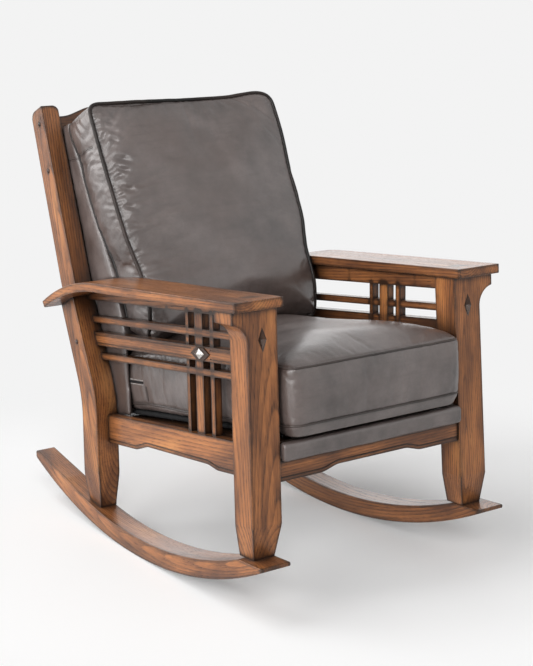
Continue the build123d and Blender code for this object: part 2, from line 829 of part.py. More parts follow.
with BuildPart() as side_rail:
    bottom = side_rail_bottom()
    rear_y = bottom[-1][0]
    with BuildSketch(side_plane(rail_inner_x)):
        with BuildLine():
            FilletPolyline(*bottom, radius=[rail_ogee_radius] * (len(bottom) - 2))
            Polyline(bottom[-1], (rear_y, side_rail_top_z - side_rail_top_slope * rear_y),
                     (post_depth, side_rail_top_z - side_rail_top_slope * post_depth), bottom[0])
        make_face()
    extrude(amount=rail_thickness)
    with BuildSketch(side_plane(rail_inner_x + rail_thickness - bead_depth)):
        draw_bead(side_rail_bottom(bead_height), side_rail_bottom(bead_height + bead_width))
    extrude(amount=bead_depth + 1, mode=Mode.SUBTRACT)
    cut_rear_post(rail_inner_x - 1, rail_thickness + 2)
    with BuildSketch(side_plane(rail_inner_x + rail_tenon_shoulder)):
        draw_band(side_rail_top_z - rail_tenon_inset,
                  side_rail_bottom_z + side_rail_rise_rear + rail_tenon_inset,
                  side_rail_top_slope, post_depth - rail_tenon_length, rear_y)
    extrude(amount=rail_thickness - 2 * rail_tenon_shoulder)
    for slat in (front_slat, wide_slat, rear_slat):
        add(slat.part, mode=Mode.SUBTRACT)
save_pair(side_rail, "side_rail")

# ---- Front and rear rails, drawn as one half and mirrored ----
with BuildPart() as front_post_blank:
    add_front_post()

with BuildPart() as front_rail:
    raised_z = front_rail_bottom_z + front_rail_rise
    end_x = front_inner_knee_x + rail_tenon_length
    bottom = [(0, raised_z), (front_rail_flat_x, raised_z),
              (front_rail_ogee_x, front_rail_bottom_z), (end_x, front_rail_bottom_z)]
    with BuildSketch(front_plane(front_rail_setback)):
        with BuildLine():
            FilletPolyline(*bottom, radius=[rail_ogee_radius] * (len(bottom) - 2))
            Polyline(bottom[-1], (end_x, front_rail_top_z), (0, front_rail_top_z), bottom[0])
        make_face()
    extrude(amount=-front_rail_thickness)
    with BuildSketch(front_plane(front_rail_setback + bead_depth)):
        draw_bead([(x, z + bead_height) for x, z in bottom],
                  [(x, z + bead_height + bead_width) for x, z in bottom])
    extrude(amount=bead_depth + 1, mode=Mode.SUBTRACT)
    add(front_post_blank.part, mode=Mode.SUBTRACT)
    with BuildSketch(front_plane(front_rail_setback + front_rail_thickness - rail_tenon_shoulder)):
        Polygon((0, raised_z + rail_tenon_inset), (end_x, raised_z + rail_tenon_inset),
                (end_x, front_rail_top_z - rail_tenon_inset / 2),
                (0, front_rail_top_z - rail_tenon_inset / 2), align=None)
    extrude(amount=front_rail_thickness - 2 * rail_tenon_shoulder)
    mirror(about=Plane.YZ)
save(front_rail, "front_rail")

with BuildPart() as rear_rail:
    end_x = rear_inner_x + rail_tenon_length
    with BuildSketch(front_plane(rear_rail_y)):
        Polygon((0, rear_rail_bottom_z), (rear_inner_x, rear_rail_bottom_z),
                (rear_inner_x, rear_rail_top_z), (0, rear_rail_top_z), align=None)
    extrude(amount=-front_rail_thickness)
    with BuildSketch(front_plane(rear_rail_y + front_rail_thickness - rail_tenon_shoulder)):
        Polygon((0, rear_rail_bottom_z + rail_tenon_inset), (end_x, rear_rail_bottom_z + rail_tenon_inset),
                (end_x, rear_rail_top_z - rail_tenon_inset), (0, rear_rail_top_z - rail_tenon_inset),
                align=None)
    extrude(amount=front_rail_thickness - 2 * rail_tenon_shoulder)
    mirror(about=Plane.YZ)
save(rear_rail, "rear_rail")

# ---- The rail under the arm ----
with BuildPart() as arm_rail:
    front_y = post_depth - slat_tenon_length
    rear_y = rear_bend_y + slat_tenon_length + post_depth / 2
    with BuildSketch(side_plane(lattice_inner_x)):
        Polygon((post_depth, arm_height), (rear_y, arm_height),
                (rear_y, arm_rail_bottom_z - arm_rail_slope * rear_y),
                (post_depth, arm_rail_bottom_z - arm_rail_slope * post_depth), align=None)
    extrude(amount=lattice_thickness)
    cut_rear_post(lattice_inner_x - 1, lattice_thickness + 2)
    with BuildSketch(side_plane(lattice_inner_x + (lattice_thickness - slat_tenon_thickness) / 2)):
        draw_band(arm_height, arm_rail_bottom_z + slat_tenon_inset, arm_rail_slope, front_y,
                  rear_bend_y + slat_tenon_length)
    extrude(amount=slat_tenon_thickness)
    with BuildSketch(side_plane(lattice_inner_x - 1)):
        draw_above_arm()
    extrude(amount=lattice_thickness + 2, mode=Mode.SUBTRACT)
    for y in arm_screw_y:
        head_z = arm_rail_bottom_z - arm_rail_slope * y
        cut_well(arm_screw_x, y, lower_slat_z, head_z + screw_sink, screw_head_diameter)
    add(arm_screws.part, mode=Mode.SUBTRACT)
    for slat in (front_slat, wide_slat, rear_slat):
        add(slat.part, mode=Mode.SUBTRACT)
save_pair(arm_rail, "arm_rail")

# ---- Posts ----
with BuildPart() as front_post:
    add_front_post()
    fillet(front_post.edges().filter_by(lambda edge: edge.length > 3 * post_depth), edge_ease)
    with BuildSketch(front_plane(0), mode=Mode.PRIVATE) as diamond:
        Polygon((diamond_x - diamond_half_width, diamond_z), (diamond_x, diamond_z + diamond_half_height),
                (diamond_x + diamond_half_width, diamond_z), (diamond_x, diamond_z - diamond_half_height),
                align=None)
    pit = Vertex(place(diamond_x, diamond_depth, diamond_z))
    loft(sections=[diamond.sketch.faces()[0], pit], ruled=True, mode=Mode.SUBTRACT)
    with BuildSketch(side_plane(front_inner_knee_x + arm_tenon_inset)):
        tenon_y = (arm_tenon_inset, post_depth - arm_tenon_inset)
        Polygon((tenon_y[0], cove_z), (tenon_y[1], cove_z),
                (tenon_y[1], arm_under_z(tenon_y[1]) + arm_tenon_height),
                (tenon_y[0], arm_under_z(tenon_y[0]) + arm_tenon_height), align=None)
    extrude(amount=front_outer_neck_x - front_inner_knee_x - 2 * arm_tenon_inset)
    for piece in (front_rail, side_rail, arm_rail, upper_slat, moulded_slat, lower_slat,
                  runner_bolts, corner_screws):
        add(piece.part, mode=Mode.SUBTRACT)
save_pair(front_post, "front_post")

with BuildPart() as rear_post_lower:
    add_rear_post(rear_outer_x + rear_shoulder - rear_inner_x)
    fillet(rear_post_lower.edges().filter_by(lambda edge: edge.length > 3 * post_depth), edge_ease)
    with BuildSketch(side_plane(rear_inner_x - 1)):
        draw_above_arm()
    extrude(amount=rear_outer_x + rear_shoulder - rear_inner_x + 2, mode=Mode.SUBTRACT)

with BuildPart() as rear_post:
    add_rear_post(rear_outer_x - rear_inner_x)
    fillet(rear_post.edges().filter_by(lambda edge: edge.length > 3 * post_depth), edge_ease)
    add(rear_post_lower.part)
    taper_rear_foot()
    round_rear_crown()
    for piece in (rear_rail, side_rail, arm_rail, upper_slat, moulded_slat, lower_slat,
                  runner_bolts, corner_screws, post_screws, post_plugs):
        add(piece.part, mode=Mode.SUBTRACT)
save_pair(rear_post, "rear_post")

# ---- Arms ----
with BuildPart() as arm:
    with BuildSketch(side_plane(arm_inner_x)):
        draw_arm()
    extrude(amount=arm_outer_x - arm_inner_x)
    tail_corners = arm.edges().filter_by(lambda edge: edge.length < arm_thickness + 1)
    fillet(tail_corners.sort_by(Axis.Y)[-2:], arm_corner_radius)
    fillet(arm.edges().filter_by(lambda edge: edge.length > arm_thickness), edge_ease)
    for piece in (front_post, rear_post, arm_screws):
        add(piece.part, mode=Mode.SUBTRACT)
save_pair(arm, "arm")


# ---- Back frame: three rails between the rear posts, in one leaning plane ----
def add_back_rail(middle_z):
    """A plain rail whose middle lies at the given height."""
    middle = up_back(middle_z)
    with BuildSketch(back_plane(back_rail_setback)) as shape:
        with Locations((0, middle)):
            Rectangle(2 * rear_inner_x, back_rail_height)
    extrude(shape.sketch, amount=-back_rail_thickness)
    add(post_screws.part, mode=Mode.SUBTRACT)


with BuildPart() as crest_rail:
    with BuildSketch(back_plane(back_rail_setback)):
        with BuildLine():
            low, end, top = up_back(crest_bottom_z), up_back(crest_end_z), up_back(crest_top_z)
            FilletPolyline(
                (rear_inner_x, end), (crest_ogee_x, end), (crest_flat_x, top),
                (-crest_flat_x, top), (-crest_ogee_x, end), (-rear_inner_x, end),
                radius=[crest_ogee_radius] * 4,
            )
            Polyline((-rear_inner_x, end), (-rear_inner_x, low), (rear_inner_x, low), (rear_inner_x, end))
        make_face()
    extrude(amount=-back_rail_thickness)
    add(post_screws.part, mode=Mode.SUBTRACT)
save(crest_rail, "crest_rail")

with BuildPart() as middle_back_rail:
    add_back_rail(middle_back_rail_z)
save(middle_back_rail, "middle_back_rail")

with BuildPart() as lower_back_rail:
    add_back_rail(lower_back_rail_z)
save(lower_back_rail, "lower_back_rail")

with BuildPart() as back_webbing:
    low = up_back(lower_back_rail_z) - back_rail_height / 2
    high = up_back(crest_bottom_z) + back_rail_height / 3
    with BuildSketch(back_plane(back_rail_setback)):
        with Locations((0, (low + high) / 2)):
            with GridLocations(webbing_pitch, 0, webbing_count, 1):
                Rectangle(webbing_width, high - low)
    extrude(amount=webbing_thickness)
save(back_webbing, "back_webbing")

with BuildPart() as outside_back:
    low, high = up_back(outside_back_bottom_z), up_back(outside_back_top_z)
    with BuildSketch(back_plane(back_rail_setback + back_rail_thickness)):
        with Locations((0, (low + high) / 2)):
            Rectangle(2 * (rear_inner_x - outside_back_clearance), high - low)
    extrude(amount=-outside_back_thickness)
    for start in (arm_inner_x - outside_back_clearance, -arm_inner_x + outside_back_clearance - corbel_x):
        with BuildSketch(side_plane(start)):
            draw_arm(outside_back_clearance)
        extrude(amount=corbel_x, mode=Mode.SUBTRACT)
save(outside_back, "outside_back")

# ---- Seat: cleats and blocks on the rails, a drop-in frame with springs and a pad ----
along = math.hypot(1, seat_slope)
clip_below = deck_pad_thickness + 2 * soft_gap
frame_below = clip_below + clip_height
wire_below = frame_below - wire_gap - spring_wire / 2
cleat_below = frame_below + frame_thickness
front_rail_back_y = front_rail_setback + front_rail_thickness


def add_seat_board(half_x, middle_y, depth, below, thickness, middle_x=0.0):
    """A board in the seat's slope, by its middle and its depth along Y."""
    with BuildSketch(seat_plane(below)) as shape:
        with Locations((middle_x, middle_y * along)):
            Rectangle(2 * half_x, depth * along)
    extrude(shape.sketch, amount=-thickness / along)


with BuildPart() as seat_cleats:
    side_x = rail_inner_x - cleat_width / 2
    side_start = post_depth + block_side_reach
    side_end = rear_rail_y - block_side_reach - post_depth / 2
    for side in (-1, 1):
        add_seat_board(cleat_width / 2, (side_start + side_end) / 2, side_end - side_start,
                       cleat_below, cleat_height, side * side_x)
    add_seat_board(cross_cleat_half_length, front_rail_back_y + cleat_width / 2, cleat_width,
                   cleat_below, cleat_height)
    add_seat_board(cross_cleat_half_length, rear_rail_y - cleat_width / 2, cleat_width,
                   cleat_below, cleat_height)
    with BuildSketch(level_plane(0)):
        Rectangle(6 * rail_inner_x, 2 * front_rail_back_y)
        with Locations((0, rear_rail_y + rail_inner_x)):
            Rectangle(6 * rail_inner_x, 2 * rail_inner_x)
    extrude(amount=front_rail_top_z * 2, mode=Mode.SUBTRACT)
save(seat_cleats, "seat_cleats")

with BuildPart() as corner_blocks:
    with BuildSketch(level_plane(front_block_top_z)):
        Polygon((rail_inner_x - block_reach, front_rail_back_y), (rail_inner_x, front_rail_back_y),
                (rail_inner_x, post_depth + block_side_reach), align=None)
    extrude(amount=-block_height)
    add(front_post_blank.part, mode=Mode.SUBTRACT)
    with BuildSketch(level_plane(rear_block_top_z)):
        Polygon((rail_inner_x - block_reach, rear_rail_y), (rail_inner_x, rear_rail_y),
                (rail_inner_x, rear_rail_y - post_depth / 2 - block_side_reach), align=None)
    extrude(amount=-block_height)
    cut_rear_post(rear_inner_x, rail_thickness)
    add(corner_screws.part, mode=Mode.SUBTRACT)
    mirror(about=Plane.YZ)
save(corner_blocks, "corner_blocks")

with BuildPart() as seat_frame_front:
    add_seat_board(frame_half_width, frame_front_y + frame_member / 2, frame_member,
                   frame_below, frame_thickness)
save(seat_frame_front, "seat_frame_front")

with BuildPart() as seat_frame_rear:
    add_seat_board(frame_half_width, frame_rear_y - frame_member / 2, frame_member,
                   frame_below, frame_thickness)
save(seat_frame_rear, "seat_frame_rear")

with BuildPart() as seat_frame_side:
    add_seat_board(frame_member / 2, (frame_front_y + frame_rear_y) / 2,
                   frame_rear_y - frame_front_y - 2 * frame_member, frame_below, frame_thickness,
                   frame_half_width - frame_member / 2)
save_pair(seat_frame_side, "seat_frame_side")

# One bent wire of the seat, and its copies side by side.
with BuildPart() as spring:
    points = []
    for step in range(spring_steps + 1):
        side = 1 if step % 2 else -1
        y = spring_front_y + step * spring_step
        points.append((side * spring_half_width, y))
        points.append((-side * spring_half_width, y))
    with BuildLine(seat_plane(wire_below)) as wire_path:
        FilletPolyline(*points, radius=spring_bend_radius)
    with BuildSketch(Plane(origin=wire_path.line @ 0, z_dir=wire_path.line % 0)):
        Circle(spring_wire / 2)
    sweep()

with BuildPart() as seat_springs:
    with GridLocations(spring_pitch_x, 0, spring_count, 1):
        add(spring.part)
save(seat_springs, "seat_springs")

with BuildPart() as spring_clips:
    spring_rear_y = spring_front_y + spring_steps * spring_step
    with BuildSketch(seat_plane(frame_below)):
        with Locations((0, (spring_front_y + spring_rear_y) / 2)):
            with GridLocations(spring_pitch_x, spring_rear_y - spring_front_y, spring_count, 2):
                Rectangle(clip_length, clip_width)
    extrude(amount=clip_height)
    add(seat_springs.part, mode=Mode.SUBTRACT)
save(spring_clips, "spring_clips")

with BuildPart() as deck_pad:
    add_seat_board(deck_pad_half_width, (deck_pad_front_y + deck_pad_rear_y) / 2,
                   deck_pad_rear_y - deck_pad_front_y, soft_gap, deck_pad_thickness)
save(deck_pad, "deck_pad")

with BuildPart() as dust_cover:
    start = front_rail_back_y + cleat_width + soft_gap
    end = rear_rail_y - cleat_width - soft_gap
    add_seat_board(rail_inner_x - cleat_width - soft_gap, (start + end) / 2, end - start,
                   cleat_below + soft_gap, dust_cover_thickness)
    add(corner_blocks.part, mode=Mode.SUBTRACT)
save(dust_cover, "dust_cover")

with BuildPart() as front_roll:
    with BuildSketch(side_plane(-roll_half_width)):
        with BuildLine():
            low = front_rail_top_z + soft_gap
            back = frame_front_y - frame_thickness * seat_slope - soft_gap
            FilletPolyline((roll_front_y, low), (roll_front_y, roll_top_z), (back, roll_top_z), (back, low),
                           radius=[roll_radius] * 4, close=True)
        make_face()
    extrude(amount=2 * roll_half_width)
save(front_roll, "front_roll")


# ---- Cushions ----
def draw_seat_cushion(inset):
    with BuildLine() as outline:
        FilletPolyline(
            (seat_cushion_front_y, seat_z(seat_cushion_front_y)),
            (seat_cushion_front_y, seat_cushion_front_z),
            (seat_cushion_crown_y, seat_cushion_crown_z),
            (seat_cushion_mid_y, seat_cushion_mid_z),
            (seat_cushion_rear_y, seat_cushion_rear_z),
            (seat_cushion_rear_y, seat_z(seat_cushion_rear_y)),
            radius=[seat_cushion_radius, seat_cushion_radius, crown_radius, crown_radius,
                    cushion_rear_radius, cushion_rear_radius],
            close=True,
        )
    make_face(outline.line)
    if inset:
        offset(amount=-inset)


def add_seat_cushion(inset, mode=Mode.ADD):
    with BuildSketch(side_plane(0)) as shape:
        draw_seat_cushion(inset)
    extrude(shape.sketch, amount=seat_cushion_half_width - inset, both=True, mode=mode)


with BuildPart() as seat_cushion:
    add_seat_cushion(0)
    add_seat_cushion(cover_thickness, Mode.SUBTRACT)
save(seat_cushion, "seat_cushion")

with BuildPart() as seat_foam:
    add_seat_cushion(cover_thickness + fill_gap)
save(seat_foam, "seat_foam")

zip_z = seat_z(seat_cushion_rear_y) + zip_above_bottom
with BuildPart() as cushion_zip:
    with BuildSketch(front_plane(seat_cushion_rear_y)):
        with Locations((0, zip_z)):
            Rectangle(2 * zip_half_width, zip_height)
    extrude(amount=-zip_thickness)
save(cushion_zip, "cushion_zip")

with BuildPart() as zip_slider:
    with BuildSketch(front_plane(seat_cushion_rear_y + zip_thickness + soft_gap)):
        with Locations((slider_length - zip_half_width, zip_z)):
            RectangleRounded(slider_length, slider_height, slider_height / 3)
    extrude(amount=-slider_thickness)
save(zip_slider, "zip_slider")


def cushion_top_z(y):
    """The highest line of the seat cushion behind its crown."""
    if y < seat_cushion_mid_y:
        fall = (seat_cushion_crown_z - seat_cushion_mid_z) / (seat_cushion_mid_y - seat_cushion_crown_y)
        return seat_cushion_crown_z - fall * (y - seat_cushion_crown_y)
    fall = (seat_cushion_mid_z - seat_cushion_rear_z) / (seat_cushion_rear_y - seat_cushion_mid_y)
    return seat_cushion_mid_z - fall * (y - seat_cushion_mid_y)


def back_line_y(z, behind):
    return rear_bend_y + behind / math.cos(back_lean) + (z - rear_bend_z) * math.tan(back_lean)


with BuildPart() as back_upholstery:
    behind = back_rail_setback - webbing_thickness - soft_gap
    base_below = clip_below - soft_gap
    base_z = seat_z(back_line_y(seat_cushion_rear_z / 2, behind), base_below)
    with BuildSketch(side_plane(-back_half_width)):
        Polygon(
            (back_top_welt_y, back_top_welt_z),
            (back_fold_y, back_fold_z),
            (back_wing_y, back_low_z),
            (back_wing_y, seat_z(back_wing_y, base_below)),
            (back_line_y(base_z, behind), seat_z(back_line_y(base_z, behind), base_below)),
            (back_line_y(back_top_welt_z - back_top_fall, behind), back_top_welt_z - back_top_fall),
            align=None,
        )
    extrude(amount=2 * back_half_width)
    with BuildSketch(side_plane(-back_wing_inner_x)):
        Polygon(
            (back_wing_y - back_half_width, 0),
            (back_pocket_y, 0),
            (back_pocket_y, cushion_top_z(back_pocket_y) + back_pocket_gap),
            (back_wing_y, cushion_top_z(back_wing_y) + back_pocket_gap),
            (back_wing_y - back_half_width, cushion_top_z(back_wing_y) + back_pocket_gap),
            align=None,
        )
    extrude(amount=2 * back_wing_inner_x, mode=Mode.SUBTRACT)
    for start in (pillow_arm_half_width, -pillow_arm_half_width - corbel_x):
        with BuildSketch(side_plane(start)):
            draw_arm(arm_inner_x - pillow_arm_half_width)
        extrude(amount=corbel_x, mode=Mode.SUBTRACT)
save(back_upholstery, "back_upholstery")


def draw_pillow(inset):
    with BuildLine() as outline:
        FilletPolyline(
            (pillow_top_y, pillow_top_z),
            (pillow_belly_y, pillow_belly_z),
            (pillow_bottom_y, cushion_top_z(pillow_bottom_y) + 2 * soft_gap),
            (seat_cushion_mid_y, cushion_top_z(seat_cushion_mid_y) + 2 * soft_gap),
            (back_wing_y - soft_gap, cushion_top_z(back_wing_y) + 2 * soft_gap),
            (back_wing_y - soft_gap, back_low_z),
            (back_fold_y - soft_gap, back_fold_z),
            (back_top_welt_y - soft_gap, back_top_welt_z),
            radius=[pillow_radius, pillow_belly_radius, 0, 0, 0, 0, 0, cushion_rear_radius],
            close=True,
        )
    make_face(outline.line)
    if inset:
        offset(amount=-inset)


def add_pillow(inset, mode=Mode.ADD):
    """The pillow is narrow between the arms and flares out above them."""
    with BuildSketch(side_plane(0)) as shape:
        draw_pillow(inset)
    widest = pillow_half_width - inset
    narrow = pillow_arm_half_width - inset
    with BuildSketch(front_plane(0)) as face:
        Polygon((-narrow, 0), (narrow, 0), (narrow, pillow_flare_z),
                (widest, pillow_flare_z + pillow_flare_height), (widest, 2 * pillow_top_z),
                (-widest, 2 * pillow_top_z), (-widest, pillow_flare_z + pillow_flare_height),
                (-narrow, pillow_flare_z), align=None)
    block = extrude(shape.sketch, amount=widest, both=True, mode=Mode.PRIVATE)
    waist = extrude(face.sketch, amount=-2 * back_top_welt_y, mode=Mode.PRIVATE)
    add(block & waist, mode=mode)


with BuildPart() as back_cushion:
    add_pillow(0)
    add_pillow(cover_thickness, Mode.SUBTRACT)
save(back_cushion, "back_cushion")

with BuildPart() as back_fill:
    add_pillow(cover_thickness + fill_gap)
save(back_fill, "back_fill")
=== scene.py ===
import math

import bmesh
import bpy
import numpy as np
from mathutils import Euler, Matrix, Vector
from mathutils.bvhtree import BVHTree
from mathutils.kdtree import KDTree

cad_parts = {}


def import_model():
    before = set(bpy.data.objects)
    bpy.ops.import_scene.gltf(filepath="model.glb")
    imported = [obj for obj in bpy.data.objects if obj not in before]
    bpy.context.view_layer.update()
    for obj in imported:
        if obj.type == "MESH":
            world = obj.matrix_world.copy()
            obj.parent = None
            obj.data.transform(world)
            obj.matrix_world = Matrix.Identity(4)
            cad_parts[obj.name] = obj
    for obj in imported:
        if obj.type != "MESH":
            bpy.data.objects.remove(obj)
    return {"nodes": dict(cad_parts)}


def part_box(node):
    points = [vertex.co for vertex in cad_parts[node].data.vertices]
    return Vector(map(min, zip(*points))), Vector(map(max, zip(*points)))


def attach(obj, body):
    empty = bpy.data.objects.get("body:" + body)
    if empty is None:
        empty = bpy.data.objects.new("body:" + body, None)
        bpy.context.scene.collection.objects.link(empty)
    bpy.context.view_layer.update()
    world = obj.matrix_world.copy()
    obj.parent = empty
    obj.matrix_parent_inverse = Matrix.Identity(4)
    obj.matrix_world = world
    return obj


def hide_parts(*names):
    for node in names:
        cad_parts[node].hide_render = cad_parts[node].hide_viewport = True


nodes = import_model()["nodes"]
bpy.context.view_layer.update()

# ---- The chair's leaning frame: millimetres in, metres out ----
LEAN = math.radians(3.4)
DATUM = (0.0, -0.505475, 0.140910)
TURN = np.array([
    [1, 0, 0],
    [0, math.cos(LEAN), math.sin(LEAN)],
    [0, -math.sin(LEAN), math.cos(LEAN)],
])


def to_world(points):
    """Points of the chair's own frame, in millimetres, in the row frame."""
    return np.asarray(points, float) @ TURN.T / 1000 + DATUM


def to_chair(points):
    return (np.asarray(points, float) - DATUM) @ TURN * 1000


def curve_through(y, knots):
    """A smooth value at y through (y, value) knots."""
    at = np.array([knot[0] for knot in knots], float)
    value = np.array([knot[1] for knot in knots], float)
    slope = np.gradient(value, at)
    y = np.clip(np.asarray(y, float), at[0], at[-1])
    i = np.clip(np.searchsorted(at, y, side="right") - 1, 0, len(at) - 2)
    step = at[i + 1] - at[i]
    t = (y - at[i]) / step
    return ((2 * t**3 - 3 * t**2 + 1) * value[i] + (t**3 - 2 * t**2 + t) * step * slope[i]
            + (3 * t**2 - 2 * t**3) * value[i + 1] + (t**3 - t**2) * step * slope[i + 1])


# ---- Node trees ----
class Tree:
    """Short calls for adding linked shader nodes."""

    def __init__(self, tree):
        self.tree = tree

    def add(self, kind, inputs=(), **settings):
        node = self.tree.nodes.new("ShaderNode" + kind)
        for name, value in settings.items():
            setattr(node, name, value)
        for name, value in dict(inputs).items():
            socket = node.inputs[name]
            if isinstance(value, bpy.types.NodeSocket):
                self.tree.links.new(value, socket)
            else:
                socket.default_value = value
        return node

    def math(self, operation, a, b=0.0, c=0.0, clamp=False):
        return self.add("Math", {0: a, 1: b, 2: c}, operation=operation, use_clamp=clamp).outputs[0]

    def times(self, a, b):
        return self.math("MULTIPLY", a, b)

    def madd(self, a, b, c):
        """a times b, plus c."""
        return self.math("MULTIPLY_ADD", a, b, c)

    def vector(self, operation, a, b=(0, 0, 0)):
        node = self.add("VectorMath", {0: a, 1: b}, operation=operation)
        return node.outputs["Value" if operation == "LENGTH" else "Vector"]

    def apart(self, vector):
        """The vector's x, y and z."""
        return self.add("SeparateXYZ", {0: vector}).outputs

    def place(self):
        """The point's place in the piece's own space."""
        return self.add("TexCoord").outputs["Object"]

    def openness(self, reach, samples, inside=False):
        """1 in the open and 0 in a corner, looking as far as reach; inside looks through the piece."""
        return self.add("AmbientOcclusion", {"Distance": reach}, samples=samples, inside=inside).outputs["AO"]

    def stretch(self, vector, scale):
        return self.vector("MULTIPLY", vector, scale)

    def noise(self, vector, scale=1.0, detail=2.0, rough=0.5, output="Fac"):
        node = self.add("TexNoise", {"Vector": vector, "Scale": scale, "Detail": detail, "Roughness": rough})
        return node.outputs[output]

    def ramp(self, fac, stops, interpolation="LINEAR"):
        node = self.add("ValToRGB", {"Fac": fac})
        ramp = node.color_ramp
        ramp.interpolation = interpolation
        while len(ramp.elements) < len(stops):
            ramp.elements.new(1.0)
        for element, (place, value) in zip(ramp.elements, stops):
            element.position = place
            element.color = (value, value, value, 1.0)
        return node.outputs["Color"]

    def between(self, fac, low, high, first=0.0, last=1.0):
        """Runs from first to last while fac runs from low to high."""
        return self.ramp(fac, [(low, first), (high, last)])

    def mix(self, fac, a, b):
        a, b = (tone if isinstance(tone, bpy.types.NodeSocket) else (*tone, 1.0) for tone in (a, b))
        return self.add("Mix", {0: fac, 6: a, 7: b}, data_type="RGBA").outputs[2]


def open_group(name, *more):
    """A node group from a place and two tones to a surface; more names its further numbers."""
    tree = bpy.data.node_groups.new(name, "ShaderNodeTree")
    tree.interface.new_socket("Vector", in_out="INPUT", socket_type="NodeSocketVector")
    for label in ("Dark", "Light"):
        tree.interface.new_socket(label, in_out="INPUT", socket_type="NodeSocketColor")
    for label in more:
        tree.interface.new_socket(label, in_out="INPUT", socket_type="NodeSocketFloat")
    return Tree(tree), tree.nodes.new("NodeGroupInput").outputs


def close_group(t, tone, rough, height):
    t.tree.interface.new_socket("Color", in_out="OUTPUT", socket_type="NodeSocketColor")
    for label in ("Roughness", "Height"):
        t.tree.interface.new_socket(label, in_out="OUTPUT", socket_type="NodeSocketFloat")
    end = t.tree.nodes.new("NodeGroupOutput")
    for socket, value in zip(end.inputs, (tone, rough, height)):
        t.tree.links.new(value, socket)
    return t.tree


# Oak: metres from ring to ring, and how far the rings drift and ripple.
RING_WIDTH, RING_DRIFT, RING_RIPPLE = 0.0060, 0.013, 0.0016
OAK_PATCH_DARK, OAK_PATCH_LIGHT, OAK_PORE = (0.062, 0.022, 0.011), (0.54, 0.235, 0.072), (0.018, 0.008, 0.005)
# How fine each of the oak's noises is, across the grain twice and along it.
DRIFT_SCALE, RIPPLE_SCALE, FIBRE_SCALE = (7, 7, 1.6), (60, 60, 9), (420, 420, 9)
STREAK_SCALE, CLOUD_SCALE, PORE_SCALE, PATCH_SCALE = (75, 75, 1.7), (9, 9, 3), (900, 900, 42), (16, 16, 4)
PATCH_OFFSET = (4.0, 7.0, 2.0)


def make_oak_group():
    """Open-pored oak: the texture's z runs along the grain, and the pith is at its origin."""
    t, given = open_group("oak", "Taper")
    at = given["Vector"]
    drift = t.noise(t.stretch(at, DRIFT_SCALE), detail=2.0, output="Color")
    drift = t.vector("SUBTRACT", drift, (0.5, 0.5, 0.5))
    bent = t.vector("ADD", at, t.stretch(drift, (RING_DRIFT, RING_DRIFT, 0.0)))
    across = t.vector("LENGTH", t.stretch(bent, (1, 1, 0)))
    taper = t.times(t.apart(bent)["Z"], given["Taper"])
    ripple = t.times(t.noise(t.stretch(at, RIPPLE_SCALE), detail=2.0), RING_RIPPLE)
    years = t.math("DIVIDE", t.math("ADD", t.math("ADD", across, taper), ripple), RING_WIDTH)
    ring = t.math("FRACT", years)
    early = t.ramp(ring, [(0.0, 0.15), (0.07, 1.0), (0.30, 0.62), (0.62, 0.12), (0.95, 0.0), (1.0, 0.15)])
    fibre = t.noise(t.stretch(at, FIBRE_SCALE), detail=3.0, rough=0.6)
    streak = t.noise(t.stretch(at, STREAK_SCALE), detail=3.0, rough=0.55)
    cloud = t.noise(t.stretch(at, CLOUD_SCALE), detail=3.0)
    pore_field = t.noise(t.stretch(at, PORE_SCALE), detail=1.0)
    pores = t.times(t.between(pore_field, 0.55, 0.63), t.madd(early, 0.8, 0.2))
    bold = t.madd(t.between(cloud, 0.35, 0.65), 0.30, 0.20)
    streaks = t.times(t.between(streak, 0.3, 0.7), 0.30)
    depth = t.madd(early, bold, streaks)
    depth = t.math("ADD", depth, t.times(t.between(fibre, 0.3, 0.72), 0.32), clamp=True)
    tone = t.mix(depth, given["Light"], given["Dark"])
    patch = t.noise(t.stretch(t.vector("ADD", at, PATCH_OFFSET), PATCH_SCALE), detail=4.0, rough=0.6)
    tone = t.mix(t.between(patch, 0.44, 0.68, 0.0, 0.85), tone, OAK_PATCH_DARK)
    tone = t.mix(t.between(patch, 0.28, 0.42, 0.50, 0.0), tone, OAK_PATCH_LIGHT)
    tone = t.mix(t.times(pores, 0.8), tone, OAK_PORE)
    rough = t.madd(pores, 0.22, t.madd(streak, 0.16, 0.24))
    height = t.math("SUBTRACT", t.times(t.math("SUBTRACT", 1.0, early), 0.25), pores)
    return close_group(t, tone, rough, height)


# Leather: its pebbles and veins to the metre, the stretch of its brushed streaks, its own tones, and the tone
# of its painted shade in seams.
PEBBLE_SCALE, VEIN_SCALE, BRUSH_SCALE = 620.0, 85.0, (9, 75, 75)
LEATHER_WARM, LEATHER_VEIN, LEATHER_SEAM_SHADE = (0.070, 0.045, 0.037), (0.05, 0.042, 0.038), (0.016, 0.013, 0.012)


